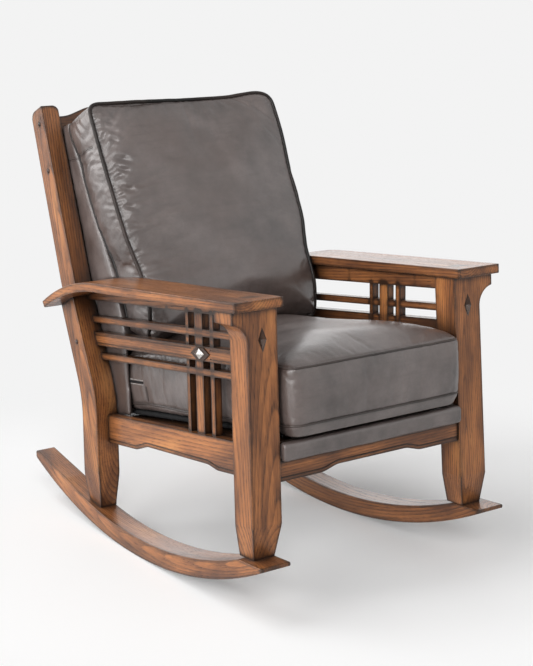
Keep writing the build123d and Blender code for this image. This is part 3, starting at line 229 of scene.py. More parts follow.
def make_leather_group():
    """Pull-up leather: cloudy colour, a fine pebble grain and small creases."""
    t, given = open_group("leather_grain")
    at = given["Vector"]
    cloud = t.noise(at, 5.5, detail=6.0, rough=0.66)
    patch = t.noise(t.vector("ADD", at, (3.1, 1.7, 0.4)), 14.0, detail=3.0, rough=0.5)
    cell = t.add("TexVoronoi", {"Vector": at, "Scale": PEBBLE_SCALE}, feature="DISTANCE_TO_EDGE")
    pebble = t.between(cell.outputs["Distance"], 0.0, 0.22)
    warp = t.vector("ADD", at, t.stretch(t.noise(at, 30.0, output="Color"), (0.02, 0.02, 0.02)))
    vein = t.add("TexVoronoi", {"Vector": warp, "Scale": VEIN_SCALE}, feature="DISTANCE_TO_EDGE")
    veins = t.between(vein.outputs["Distance"], 0.0, 0.09)
    mottle = t.madd(patch, 0.45, t.times(cloud, 0.75))
    tone = t.mix(t.between(mottle, 0.44, 0.76), given["Dark"], given["Light"])
    warm = t.noise(t.vector("ADD", at, (9.0, 2.0, 5.0)), 5.0, detail=3.0)
    tone = t.mix(t.between(warm, 0.42, 0.68, 0.0, 0.55), tone, LEATHER_WARM)
    tone = t.mix(t.times(t.math("SUBTRACT", 1.0, veins), 0.20), tone, LEATHER_VEIN)
    brushed = t.noise(t.stretch(at, BRUSH_SCALE), detail=4.0, rough=0.65)
    tone = t.mix(t.between(brushed, 0.50, 0.72, 0.0, 0.30), tone, given["Dark"])
    rough = t.madd(patch, 0.16, t.madd(cloud, 0.16, 0.20))
    height = t.madd(brushed, 1.3, t.madd(veins, 0.6, t.times(pebble, 0.55)))
    return close_group(t, tone, rough, height)


OAK = make_oak_group()
LEATHER = make_leather_group()


def new_material(name):
    material = bpy.data.materials.new(name)
    material.use_nodes = True
    material.node_tree.nodes.clear()
    return material, Tree(material.node_tree)


def finish_material(t, color, rough, height, bump, distance, **shader):
    bumped = t.add("Bump", {"Height": height, "Strength": bump, "Distance": distance})
    bsdf = t.add("BsdfPrincipled", {"Base Color": color, "Roughness": rough,
                                    "Normal": bumped.outputs["Normal"], **shader})
    t.add("OutputMaterial", {"Surface": bsdf.outputs[0]})


# How far the wood looks for its glaze and painted shade in corners, for its painted shade under other pieces
# and for its glaze on edges, and the leather for its painted shade in seams, in metres.
CORNER_REACH, SHADE_REACH, EDGE_REACH, SEAM_REACH = 0.014, 0.075, 0.010, 0.010


def glaze_and_painted_shade(t, tone):
    """Darkens the wood: glaze and painted shade in the corners between pieces, painted shade where other
    pieces stand near, and glaze along the eased edges.
    """
    # Glaze at the joints, with painted shade in the corners between pieces.
    shaded_hollow = t.between(t.openness(CORNER_REACH, 6), 0.35, 0.85, 1.0, 0.0)
    tone = t.mix(t.times(shaded_hollow, 0.65), tone, GLAZE_AND_SHADE)
    # Painted shade: darker wherever other pieces stand near, over a wider reach.
    shade = t.between(t.openness(SHADE_REACH, 8), 0.30, 0.86, 0.88, 0.0)
    tone = t.mix(shade, tone, GLAZE_AND_SHADE)
    uneven = t.madd(t.noise(t.place(), 28.0, detail=3.0), 0.5, 0.65)
    edge = t.math("DIVIDE", t.openness(EDGE_REACH, 8, inside=True), uneven)
    worn = t.between(edge, 0.62, 0.98, 1.0, 0.0)
    return t.mix(t.times(worn, 0.92), tone, GLAZE_AND_SHADE)


def carving_glaze_and_shade(t, coord, tone, carved):
    """The glaze that stays in the carved diamond, with painted shade of its recess: its middle and its half
    sizes, in metres.
    """
    middle, half_wide, half_high = carved
    x, y, z = t.apart(t.vector("ABSOLUTE", t.vector("SUBTRACT", coord, middle)))
    spread = t.math("ADD", t.math("DIVIDE", x, half_wide), t.math("DIVIDE", z, half_high))
    # Glaze and painted shade: the recess darkens, most of all towards its rim.
    inside = t.ramp(spread, [(0.0, 0.72), (0.75, 0.85), (1.0, 1.0), (1.12, 0.0)])
    near_face = t.between(y, 0.015, 0.017, 1.0, 0.0)
    return t.mix(t.times(inside, near_face), tone, GLAZE_AND_SHADE)


def oak_material(name, centre, tilt, turn, pith, dark, light, taper, polar=None, carved=None):
    """Oak for one piece: tilt about X and turn about Y bring its grain onto the texture's z."""
    material, t = new_material(name)
    coord = t.place()
    if polar:
        arc_y, arc_z, radius = polar
        offset = t.vector("SUBTRACT", coord, (centre[0], arc_y, arc_z))
        x, y, z = t.apart(offset)
        away = t.math("SUBTRACT", t.vector("LENGTH", t.stretch(offset, (0, 1, 1))), radius)
        along = t.times(t.math("ARCTAN2", y, t.times(z, -1.0)), radius)
        packed = t.add("CombineXYZ", {0: x, 1: away, 2: along})
        at = t.vector("ADD", packed.outputs[0], pith)
    else:
        turned = Euler((tilt, turn, 0)).to_matrix()
        move = Vector(pith) - turned @ Vector(centre)
        moved = t.add("Mapping", {"Vector": coord, "Location": move, "Rotation": (tilt, turn, 0)})
        at = moved.outputs[0]
    grain = t.add("Group", {"Vector": at, "Dark": (*dark, 1), "Light": (*light, 1), "Taper": taper},
                  node_tree=OAK)
    tone = glaze_and_painted_shade(t, grain.outputs["Color"])
    if carved:
        tone = carving_glaze_and_shade(t, coord, tone, carved)
    finish_material(t, tone, grain.outputs["Roughness"], grain.outputs["Height"], 0.55, 0.0004,
                    **{"Coat Weight": 0.18, "Coat Roughness": 0.26, "Specular IOR Level": 0.27})
    return material


def leather_material(name, dark, light, bump=0.35, gloss=0.70):
    material, t = new_material(name)
    coord = t.place()
    grain = t.add("Group", {"Vector": coord, "Dark": (*dark, 1), "Light": (*light, 1)},
                  node_tree=LEATHER)
    # Painted shade: the leather darkens in its seams and creases, where other surfaces stand near.
    shaded_hollow = t.between(t.openness(SEAM_REACH, 6), 0.30, 0.80, 1.0, 0.0)
    tone = t.mix(t.times(shaded_hollow, 0.55), grain.outputs["Color"], LEATHER_SEAM_SHADE)
    finish_material(t, tone, grain.outputs["Roughness"], grain.outputs["Height"], bump, 0.0006,
                    **{"Coat Weight": gloss, "Coat Roughness": 0.27, "Specular IOR Level": 0.75 * gloss})
    return material


def plain_material(name, dark, light, scale, rough, bump=0.2, metal=0.0):
    """Two tones mixed by a noise: thread, clips and metal."""
    material, t = new_material(name)
    field = t.noise(t.place(), scale, detail=4.0, rough=0.6)
    tone = t.mix(t.between(field, 0.35, 0.68), dark, light)
    spread = t.madd(field, 0.2, rough)
    finish_material(t, tone, spread, field, bump, 0.0003, Metallic=metal)
    return material


def woven_material(name, dark, light, pitch, rough):
    material, t = new_material(name)
    coord = t.place()
    x, y, z = [t.math("SINE", t.times(part, 2 * math.pi / pitch)) for part in t.apart(coord)]
    weave = t.madd(t.times(x, t.math("ADD", y, z)), 0.25, 0.5)
    fuzz = t.noise(coord, 90.0, detail=4.0)
    tone = t.mix(t.madd(fuzz, 0.5, t.times(weave, 0.5)), dark, light)
    finish_material(t, tone, rough, weave, 0.4, 0.0003, **{"Specular IOR Level": 0.12})
    return material


# ---- Wood: one material for each piece, so that no two boards share their grain ----
STAIN_DARK = (0.042, 0.014, 0.007)
STAIN_LIGHT = (0.430, 0.163, 0.052)
# The glaze's dark tone, also mixed in as painted shade in corners, under pieces and in the carved diamond.
GLAZE_AND_SHADE = (0.014, 0.007, 0.004)
BARE_DARK = (0.36, 0.24, 0.13)
BARE_LIGHT = (0.62, 0.46, 0.29)
PLUG_DARK, PLUG_LIGHT = (0.12, 0.034, 0.018), (0.46, 0.14, 0.072)
# The share of the stain's light tone that the pieces under the seat keep: painted shade.
UNDER_SEAT_SHADE_SHARE = 0.42
QUARTER = math.pi / 2
# The rear posts run back by the first number for each second number of height.
BACK_LEAN = math.atan2(129.0, 489.0)
SIDE_FALL, ARM_FALL = 0.085, 0.060
POST_TAPER, BOARD_TAPER = 0.055, 0.018

PAIRED = {
    0.0: ("front_post", "front_slat", "wide_slat", "rear_slat"),
    BACK_LEAN: ("rear_post",),
    QUARTER + SIDE_FALL: ("side_rail", "seat_frame_side"),
    QUARTER + ARM_FALL: ("arm", "arm_rail", "upper_slat", "moulded_slat", "lower_slat", "boss_plate",
                         "runner"),
}
CROSSWISE = ("crest_rail", "middle_back_rail", "lower_back_rail", "front_rail", "rear_rail",
             "seat_frame_front", "seat_frame_rear", "seat_cleats", "corner_blocks", "post_plugs")
# Each board's grain: its tilt about X and its turn about Y.
grain_of = {label: (LEAN, -QUARTER) for label in CROSSWISE}
for tilt, labels in PAIRED.items():
    grain_of.update({f"{label}_{side}": (LEAN + tilt, 0.0) for label in labels for side in ("left", "right")})

# The centre of the runners' arc and its radius: the radius less the arc's drop is the centre's height.
ROCKER_Y, ROCKER_RADIUS_MM, ROCKER_DROP = 462.5, 1293.4, 111.4
ROCKER_CENTRE = to_world((0, ROCKER_Y, ROCKER_RADIUS_MM - ROCKER_DROP))
ROCKER_RADIUS = ROCKER_RADIUS_MM / 1000
DIAMOND_X, DIAMOND_Z = 288.5, 479.0
DIAMOND_HALF_WIDE, DIAMOND_HALF_HIGH = 0.011, 0.027
BARE = ("middle_back_rail", "lower_back_rail")
SHADED = ("seat_frame", "seat_cleats", "corner_blocks")


def paint(label, material):
    nodes[label].data.materials.clear()
    nodes[label].data.materials.append(material)


random = np.random.default_rng(7)
for label, (tilt, turn) in sorted(grain_of.items()):
    low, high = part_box(label)
    middle = (low + high) / 2
    pith = (random.uniform(0.018, 0.055) * random.choice((-1, 1)),
            random.uniform(0.02, 0.06) * random.choice((-1, 1)), random.uniform(-3, 3))
    shade = random.uniform(0.86, 1.12)
    dark, light = (BARE_DARK, BARE_LIGHT) if label in BARE else (STAIN_DARK, STAIN_LIGHT)
    # Painted shade: the pieces under the seat get a darker copy of the stain.
    shade *= UNDER_SEAT_SHADE_SHARE if label.startswith(SHADED) else 1.0
    light = tuple(shade * part for part in light)
    polar = (ROCKER_CENTRE[1], ROCKER_CENTRE[2], ROCKER_RADIUS) if label.startswith("runner") else None
    if label == "post_plugs":
        dark, light = PLUG_DARK, PLUG_LIGHT
    carved = None
    if label.startswith("front_post"):
        side = -1 if label.endswith("right") else 1
        carved = (tuple(to_world((side * DIAMOND_X, 0, DIAMOND_Z))), DIAMOND_HALF_WIDE, DIAMOND_HALF_HIGH)
    taper = POST_TAPER if "post" in label else BOARD_TAPER
    paint(label, oak_material(f"oak_{label}", middle, tilt, turn, pith, dark, light, taper, polar, carved))

TAUPE_DARK = (0.036, 0.025, 0.022)
TAUPE_LIGHT = (0.132, 0.105, 0.098)
leather = leather_material("taupe_leather", TAUPE_DARK, TAUPE_LIGHT)
welt_leather = leather_material("welt_leather", (0.004, 0.0036, 0.0034), (0.011, 0.010, 0.009),
                                bump=0.2, gloss=0.15)
self_welt_leather = leather_material("self_welt_leather", (0.024, 0.019, 0.017), (0.060, 0.049, 0.045),
                                     bump=0.2, gloss=0.25)
thread = plain_material("thread", (0.30, 0.28, 0.265), (0.58, 0.55, 0.53), 900.0, 0.55)
dark_thread = plain_material("dark_thread", (0.012, 0.011, 0.010), (0.040, 0.036, 0.034), 900.0, 0.5)
cloth = woven_material("black_cambric", (0.005, 0.005, 0.005), (0.018, 0.018, 0.019), 0.0016, 0.85)
webbing = woven_material("webbing", (0.030, 0.020, 0.012), (0.14, 0.10, 0.062), 0.0022, 0.8)
wire = plain_material("spring_wire", (0.16, 0.16, 0.17), (0.36, 0.36, 0.37), 60.0, 0.32, metal=1.0)
black_clip = plain_material("black_clip", (0.010, 0.010, 0.010), (0.028, 0.028, 0.029), 160.0, 0.5)
zinc = plain_material("zinc", (0.36, 0.34, 0.30), (0.62, 0.60, 0.56), 110.0, 0.30, metal=1.0)
silver = plain_material("polished_stud", (0.44, 0.42, 0.39), (0.70, 0.68, 0.65), 160.0, 0.16,
                        bump=0.1, metal=1.0)
brass = plain_material("zip_metal", (0.30, 0.21, 0.09), (0.62, 0.48, 0.24), 200.0, 0.28, metal=1.0)
for label, material in {
    "seat_springs": wire, "spring_clips": black_clip, "post_screws": zinc, "corner_screws": zinc,
    "arm_screws": zinc, "runner_bolts": zinc, "boss_stud_left": silver, "boss_stud_right": silver,
    "zip_slider": brass, "back_webbing": webbing, "cushion_zip": cloth,
}.items():
    paint(label, material)


# ---- Mesh helpers ----
# The cloth that the covers are blown up as.
CLOTH = {"quality": 6, "mass": 0.35, "tension_stiffness": 22, "compression_stiffness": 22,
         "shear_stiffness": 8, "bending_stiffness": 0.9, "use_pressure": True}
CLOTH_FRAMES = 20
# A fold's ridge as a share of its depth, and the share of its length over which each end fades.
CREASE_RIDGE, CREASE_FADE = 0.5, 0.35
# Metres: the finest step along a row of stitches, and the step along a welt.
STITCH_STEP, WELT_STEP = 0.0005, 0.006


def new_piece(name, verts, faces, material, smooth=True):
    mesh = bpy.data.meshes.new(name)
    mesh.from_pydata([tuple(v) for v in verts], [], [tuple(f) for f in faces])
    mesh.update()
    made = bpy.data.objects.new(name, mesh)
    bpy.context.scene.collection.objects.link(made)
    made.data.materials.append(material)
    if smooth:
        mesh.shade_smooth()
    return made


def triples(parts, name):
    values = np.empty(len(parts) * 3, np.float32)
    parts.foreach_get(name, values)
    return values.reshape(-1, 3).astype(float)


def points_of(mesh):
    return triples(mesh.vertices, "co")


def normals_of(mesh):
    return triples(mesh.vertex_normals, "vector")


def set_points(mesh, co):
    mesh.vertices.foreach_set("co", np.asarray(co, np.float32).ravel())
    mesh.update()


def bake_modifiers(piece):
    """Replaces the piece's mesh by what its modifiers make of it."""
    graph = bpy.context.evaluated_depsgraph_get()
    graph.update()
    made = bpy.data.meshes.new_from_object(piece.evaluated_get(graph))
    piece.modifiers.clear()
    piece.data = made
    made.shade_smooth()


def remesh(piece, voxel):
    modifier = piece.modifiers.new("remesh", "REMESH")
    modifier.mode = "VOXEL"
    modifier.voxel_size = voxel
    bake_modifiers(piece)


def subdivide(piece):
    modifier = piece.modifiers.new("subdivide", "SUBSURF")
    modifier.levels = modifier.render_levels = 1
    bake_modifiers(piece)


def push_out(piece, co, push):
    """Moves the piece's points co along their normals, by push in metres."""
    set_points(piece.data, co + normals_of(piece.data) * push[:, None])


def relax(piece, rounds):
    """Moves every point half way to the average of its neighbours."""
    mesh = piece.data
    co = points_of(mesh)
    edges = np.empty(len(mesh.edges) * 2, np.int32)
    mesh.edges.foreach_get("vertices", edges)
    a, b = edges.reshape(-1, 2).T
    count = np.bincount(a, minlength=len(co)) + np.bincount(b, minlength=len(co))
    for _ in range(rounds):
        total = np.zeros_like(co)
        np.add.at(total, a, co[b])
        np.add.at(total, b, co[a])
        co += 0.5 * (total / np.maximum(count, 1)[:, None] - co)
    set_points(mesh, co)


def lengths(path):
    """The length along the path up to each of its points."""
    return np.concatenate([[0], np.cumsum(np.linalg.norm(np.diff(path, axis=0), axis=1))])


def resample(path, at):
    """The path's points at these lengths along it."""
    length = lengths(path)
    return np.stack([np.interp(at, length, path[:, axis]) for axis in range(path.shape[1])], axis=1)


def nearest_on(path, points):
    """Distance to a path and length along it, for every point, all in metres."""
    tree = KDTree(len(path))
    for i, p in enumerate(path):
        tree.insert(p, i)
    tree.balance()
    found = [tree.find(p)[1:] for p in points]
    index = np.array([f[0] for f in found])
    return np.array([f[1] for f in found]), lengths(path)[index]


def dense(path, step=0.002, closed=True):
    """The path again with points every step."""
    path = np.asarray(path, float)
    if closed:
        path = np.vstack([path, path[:1]])
    whole = lengths(path)[-1]
    count = max(int(whole / step), 8)
    return resample(path, np.linspace(0, whole, count + (0 if closed else 1), endpoint=not closed))


def smooth_loop(path, rounds):
    for _ in range(rounds):
        path = 0.5 * path + 0.25 * (np.roll(path, 1, 0) + np.roll(path, -1, 0))
    return path


def unit(vector):
    return vector / np.linalg.norm(vector)


def bell(away, width):
    """1 at no distance, and falling to nothing over about twice the width."""
    return np.exp(-((away / width) ** 2))


def circle(middle, radius, one, other, sides):
    """A ring of points round the middle, in the plane of two unit axes."""
    turns = [2 * math.pi * k / sides for k in range(sides)]
    return [middle + radius * (math.cos(angle) * one + math.sin(angle) * other) for angle in turns]


def band(first, second, count):
    """The quads between two rings of points that start at the given numbers."""
    return [(first + k, first + (k + 1) % count, second + (k + 1) % count, second + k) for k in range(count)]


def caps(first, last, count):
    """The faces that close both ends of a row of rings."""
    return [tuple(first + k for k in range(count))[::-1], tuple(last + k for k in range(count))]


def tube(name, path, radius, material, closed=True, sides=10):
    """A round cord along a path."""
    path = np.asarray(path, float)
    ahead = np.roll(path, -1, 0) - np.roll(path, 1, 0) if closed else np.gradient(path, axis=0)
    ahead /= np.linalg.norm(ahead, axis=1)[:, None]
    up = np.array([0.31, 0.23, 0.92])
    verts = []
    side_axis = unit(np.cross(ahead[0], up))
    for p, a in zip(path, ahead):
        side_axis = unit(side_axis - a * np.dot(side_axis, a))
        verts += circle(p, radius, side_axis, np.cross(a, side_axis), sides)
    last = (len(path) - 1) * sides
    faces = [face for i in range(0, last, sides) for face in band(i, i + sides, sides)]
    if closed:
        # The frame may have turned round the loop: join the last ring to the nearest start.
        first_ring, last_ring = np.array(verts[:sides]), np.array(verts[-sides:])
        shift = min(range(sides), key=lambda s: np.abs(np.roll(first_ring, -s, 0) - last_ring).sum())
        for k in range(sides):
            faces.append((last + k, last + (k + 1) % sides, (k + 1 + shift) % sides, (k + shift) % sides))
    else:
        faces += caps(0, last, sides)
    return new_piece(name, verts, faces, material)


def inflate(piece, held, pressure, cap, shrink):
    """Blows the closed mesh up as cloth, but for the held points; none moves further than cap."""
    rest = points_of(piece.data)
    holders = piece.vertex_groups.new(name="held")
    holders.add(np.nonzero(held)[0].tolist(), 1.0, "REPLACE")
    modifier = piece.modifiers.new("cloth", "CLOTH")
    settings = modifier.settings
    for setting, value in CLOTH.items():
        setattr(settings, setting, value)
    settings.uniform_pressure_force = pressure
    settings.shrink_min = settings.shrink_max = shrink
    settings.vertex_group_mass = holders.name
    settings.effector_weights.gravity = 0
    modifier.collision_settings.use_collision = False
    scene = bpy.context.scene
    for number in range(1, CLOTH_FRAMES + 1):
        scene.frame_set(number)
    graph = bpy.context.evaluated_depsgraph_get()
    moved = points_of(piece.evaluated_get(graph).data) - rest
    piece.modifiers.clear()
    piece.vertex_groups.clear()
    scene.frame_set(1)
    far = np.linalg.norm(moved, axis=1)
    limit = cap * np.tanh(far / cap) / np.maximum(far, 1e-9)
    set_points(piece.data, rest + moved * limit[:, None])


def gathers(seam, waves, reach, seed):
    """Irregular folds that run away from a seam, waves along it that drift and fade with the distance."""
    gap, along = seam
    draw = np.random.default_rng(seed)
    total = np.zeros_like(along)
    for wave in waves:
        phase = draw.uniform(0, 2 * math.pi)
        lean = draw.uniform(-0.5, 0.5)
        swell = 0.5 + 0.5 * np.sin(2 * math.pi * along / draw.uniform(0.11, 0.23) + draw.uniform(0, 6))
        total += swell * np.sin(2 * math.pi * (along + lean * gap) / wave + phase)
    return total / len(waves) * np.exp(-gap / reach)


def fields(points, waves, seed):
    """A smooth random field of a few crossing waves, about -1 to 1."""
    draw = np.random.default_rng(seed)
    total = np.zeros(len(points))
    for wave in waves:
        for _ in range(3):
            heading = unit(draw.normal(size=3))
            total += np.sin(2 * math.pi * points @ heading / wave + draw.uniform(0, 6.28))
    return total / (1.7 * len(waves))


def crease(points, start, end, width, depth):
    """A fold from start to end: a groove with a soft ridge beside it, in metres along the normal."""
    a, b = to_world(start), to_world(end)
    axis = b - a
    length = np.linalg.norm(axis)
    axis /= length
    offset = points - a
    t = offset @ axis
    off = offset - t[:, None] * axis
    away = np.linalg.norm(off, axis=1)
    ends = np.clip(np.minimum(t, length - t) / (CREASE_FADE * length), -1, 1)
    ends = np.where(ends > 0, np.sin(ends * math.pi / 2), 0.0)
    return depth * ends * (CREASE_RIDGE * bell(away - 2.0 * width, 1.2 * width) - bell(away, width))


def stitches(name, path, length, gap, radius, material):
    """Topstitching: one small rounded thread for each stitch along an open path."""
    path = dense(path, STITCH_STEP, closed=False)
    step = max(int((length + gap) / STITCH_STEP), 2)
    long = max(int(length / STITCH_STEP), 2)
    verts, faces = [], []
    sides, rings = 6, 5
    for start in range(0, len(path) - long, step):
        run = path[start:start + long + 1]
        ahead = run[-1] - run[0]
        size = np.linalg.norm(ahead)
        ahead /= size
        side_axis = unit(np.cross(ahead, (0.3, 0.2, 0.93)))
        other = np.cross(ahead, side_axis)
        base = len(verts)
        for i in range(rings):
            t = i / (rings - 1)
            spot = run[0] + ahead * size * t
            width = radius * (0.35 + 0.65 * math.sin(math.pi * t))
            verts += circle(spot, width, side_axis, other, sides)
        last = base + (rings - 1) * sides
        for i in range(base, last, sides):
            faces += band(i, i + sides, sides)
        faces += caps(base, last, sides)
    return new_piece(name, verts, faces, material)


def on_surface(piece, path, lift):
    """The path laid on the piece's surface, lifted off it along the surface's normal."""
    graph = bpy.context.evaluated_depsgraph_get()
    tree = BVHTree.FromObject(piece, graph)
    laid = []
    for p in path:
        spot, normal, _, _ = tree.find_nearest(Vector(p))
        laid.append(np.array(spot + normal * lift))
    return np.array(laid)


def rounded_ring(half_u, half_v, corner, step):
    """A rectangle with rounded corners, of points (u, v) round its middle; corner holds one radius each."""
    points = []
    corners = ((1, 1, 0), (-1, 1, 1), (-1, -1, 2), (1, -1, 3))
    for (side_u, side_v, number), radius in zip(corners, corner):
        middle = np.array([side_u * (half_u - radius), side_v * (half_v - radius)])
        turns = max(int(radius * QUARTER / step), 4)
        for i in range(turns + 1):
            angle = QUARTER * number + QUARTER * i / turns
            points.append(middle + radius * np.array([math.cos(angle), math.sin(angle)]))
    around = np.array(points + points[:1])
    return resample(around, np.arange(0, lengths(around)[-1], step))


def face_outward(mesh):
    work = bmesh.new()
    work.from_mesh(mesh)
    bmesh.ops.recalc_face_normals(work, faces=work.faces)
    work.to_mesh(mesh)
    work.free()


def declare_trim(body, *pieces, slot="leather"):
    for piece in pieces:
        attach(piece, body)


def lay_welt(label, piece, path, lift, radius, material, body):
    """A welt of leather cord along a seam of the piece."""
    laid = on_surface(piece, dense(path, WELT_STEP), lift)
    declare_trim(body, tube(label, smooth_loop(laid, 4), radius, material))


def closed_shell(name, rings, material):
    """A closed mesh of rings with the same number of points; the first and last ring end in a point."""
    count = len(rings[0])
    verts = [p for ring in rings for p in ring]
    faces = []
    for i in range(len(rings) - 1):
        faces += band(i * count, (i + 1) * count, count)
    for ring in (0, len(rings) - 1):
        verts.append(np.mean(rings[ring], axis=0))
        first, tip = ring * count, len(verts) - 1
        faces += [(first + (k + 1) % count, first + k, tip) for k in range(count)]
    piece = new_piece(name, verts, faces, material)
    face_outward(piece.data)
    return piece


def seams_round(piece, seams):
    """The piece's points, also in the chair's frame, and their distance to each seam and place along it."""
    co = points_of(piece.data)
    return co, to_chair(co), [nearest_on(seam, co) for seam in seams]


def blow_up(piece, seams, rear, pressure, cap, shrink):
    """Fills the cover between its seams; rear is true for the points that lie against something."""
    remesh(piece, VOXEL)
    _, local, (first, second) = seams_round(piece, seams)
    held = (np.minimum(first[0], second[0]) < SEAM_HOLD) | rear(local)
    inflate(piece, held, pressure, cap, shrink)
    subdivide(piece)


def declare_cover(piece, body, slot, fill, *replaced):
    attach(piece, body)
    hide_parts(*replaced)


# ---- The seat cushion ----
SEAT_TOP = ((-35, 413.5), (100, 408), (363, 387), (544, 375), (668, 351))
SEAT_BOTTOM = ((-35, 287), (120, 273), (377, 252), (573, 241), (668, 228))
SEAT_DECK_FRONT, SEAT_DECK_SLOPE = 270.0, 0.085
# Ahead of this y, over this length, the underside drops by the overhang.
SEAT_OVERHANG, SEAT_OVERHANG_Y, SEAT_OVERHANG_RUN = 13.5, 38.0, 16.0
SEAT_HALF = 240.0
SEAT_FRONT, SEAT_REAR = -32.0, 664.0
SEAT_CORNERS = (8, 8, 26, 26)
# From the middle of the underside to its edge; then (inset, drop) below and (inset, rise) above the seams.
SEAT_UNDER_INSETS = (225, 180, 130, 90, 60, 35, 18, 9)
SEAT_FOOT = ((5.0, 14.0), (1.5, 6.0))
SEAT_CROWN = ((3, 2.5), (9, 7.5), (20, 15), (40, 24), (70, 32), (110, 38), (160, 41), (225, 41))
# The folds at the boxing's front corners: their x in millimetres and their depth in metres.
SEAT_FOLDS = ((-226, 0.0022), (-212, 0.0012), (226, 0.0022), (212, 0.0012))
# The covers' mesh: its cell in metres, the step between its outline's points and a boxing's bulge in
# millimetres, and how far from a seam it is held, in metres.
VOXEL, PLAN_STEP, BULGE, SEAM_HOLD = 0.0065, 5.0, 1.5, 0.0075


def seat_top_z(y):
    return curve_through(y, SEAT_TOP)


def seat_bottom_z(y):
    return curve_through(y, SEAT_BOTTOM)


def under_z(y):
    """The cushion's underside: it rests on the deck, and ahead of the deck it hangs over onto the roll."""
    y = np.asarray(y, float)
    over = np.clip((SEAT_OVERHANG_Y - y) / SEAT_OVERHANG_RUN, 0, 1)
    return SEAT_DECK_FRONT - SEAT_DECK_SLOPE * y - SEAT_OVERHANG * over * over * (3 - 2 * over)


seat_mid_y = (SEAT_FRONT + SEAT_REAR) / 2
seat_half_y = (SEAT_REAR - SEAT_FRONT) / 2
seat_plan = rounded_ring(SEAT_HALF, seat_half_y, SEAT_CORNERS, PLAN_STEP)


def seat_ring(inset, height):
    """The cushion's outline, inset from its edge, at the heights that height gives for each y."""
    shrink_x = (SEAT_HALF - inset) / SEAT_HALF
    shrink_y = (seat_half_y - inset) / seat_half_y
    x = seat_plan[:, 0] * shrink_x
    y = seat_mid_y + seat_plan[:, 1] * shrink_y
    return to_world(np.stack([x, y, height(y)], axis=1))


rings = [seat_ring(inset, lambda y: under_z(y) + 1.0) for inset in SEAT_UNDER_INSETS]
rings += [seat_ring(inset, lambda y: np.maximum(seat_bottom_z(y) - drop, under_z(y) + 2.5))
          for inset, drop in SEAT_FOOT]
seat_low_seam = seat_ring(0, seat_bottom_z)
seat_high_seam = seat_ring(0, seat_top_z)
rings += [seat_ring(-BULGE * math.sin(math.pi * share),
                    lambda y: seat_bottom_z(y) * (1 - share) + seat_top_z(y) * share)
          for share in np.linspace(0, 1, 17)]
rings += [seat_ring(inset, lambda y: seat_top_z(y) + rise) for inset, rise in SEAT_CROWN]
seat_cover = closed_shell("seat_cover", rings, leather)
seams = dense(seat_low_seam), dense(seat_high_seam)
blow_up(seat_cover, seams, lambda at: at[:, 2] < seat_bottom_z(at[:, 1]) - 5, 5.0, 0.024, -0.004)

co, local, (low_seam, high_seam) = seams_round(seat_cover, seams)
top_face = local[:, 2] > seat_top_z(local[:, 1]) - 3
side_face = (~top_face) & (local[:, 2] > seat_bottom_z(local[:, 1]) - 3)
push = -0.0016 * (bell(high_seam[0], 0.0045) + bell(low_seam[0], 0.0045))
push += 0.0008 * gathers(high_seam, (0.017, 0.026, 0.041), 0.030, 3)
push += 0.0007 * gathers(low_seam, (0.019, 0.031, 0.047), 0.026, 4) * side_face
push += 0.0011 * fields(co, (0.13, 0.22), 5) * top_face
push += 0.0009 * fields(co * (1, 1, 0.35), (0.05, 0.09), 6) * side_face
# The front corner of the boxing pulls in two soft upright folds.
for x, depth in SEAT_FOLDS:
    push += crease(co, (x, -40, 404), (x, -40, 296), 0.006, depth)
push_out(seat_cover, co, push)
declare_cover(seat_cover, "seat_cushion", "leather", 0.8, "seat_cushion", "seat_foam")

for label, path in (("seat_welt_top", seat_high_seam), ("seat_welt_bottom", seat_low_seam)):
    lay_welt(label, seat_cover, path, 0.0010, 0.0026, self_welt_leather, "seat_cushion")

# ---- The back pillow ----
PILLOW_FRONT = ((398, 547), (440, 538), (475, 535), (605, 585), (740, 640), (870, 697), (963, 736))
PILLOW_REAR = ((412, 640), (450, 649), (541, 678), (665, 738), (768, 786), (831, 808), (873, 840), (916, 859))
PILLOW_HALF_FRONT = ((398, 243), (500, 243), (575, 246), (640, 256), (760, 262), (963, 264))
PILLOW_HALF_REAR = ((412, 241), (500, 241), (575, 243), (640, 252), (760, 256.5), (916, 256.5))
# How far the sitter's left edge stands forward, and the upper corner up.
PILLOW_TWIST, PILLOW_EAR = 20.0, 7.0
# Below this height the front face runs on straight at this slope, where its welt turns down to the seat.
PILLOW_FOOT_Z, PILLOW_FOOT_Y, PILLOW_FOOT_SLOPE = 605.0, 585.0, 0.40
PILLOW_HEIGHT, PILLOW_WIDTH = 595.0, 512.0
PILLOW_CORNERS = (26, 20, 12, 10)
# The front's crown from its middle to the welt, as (inset, height), and the insets of the rear.
PILLOW_CROWN = ((238, 24), (180, 23.5), (130, 22), (90, 19), (60, 15), (35, 10), (18, 5.5), (7, 2))
PILLOW_REAR_INSETS = (12, 30, 60, 110, 170, 238)
# The way forward of the crown, as shares along -y and z.
PILLOW_FORWARD, PILLOW_UP = 0.92, 0.39
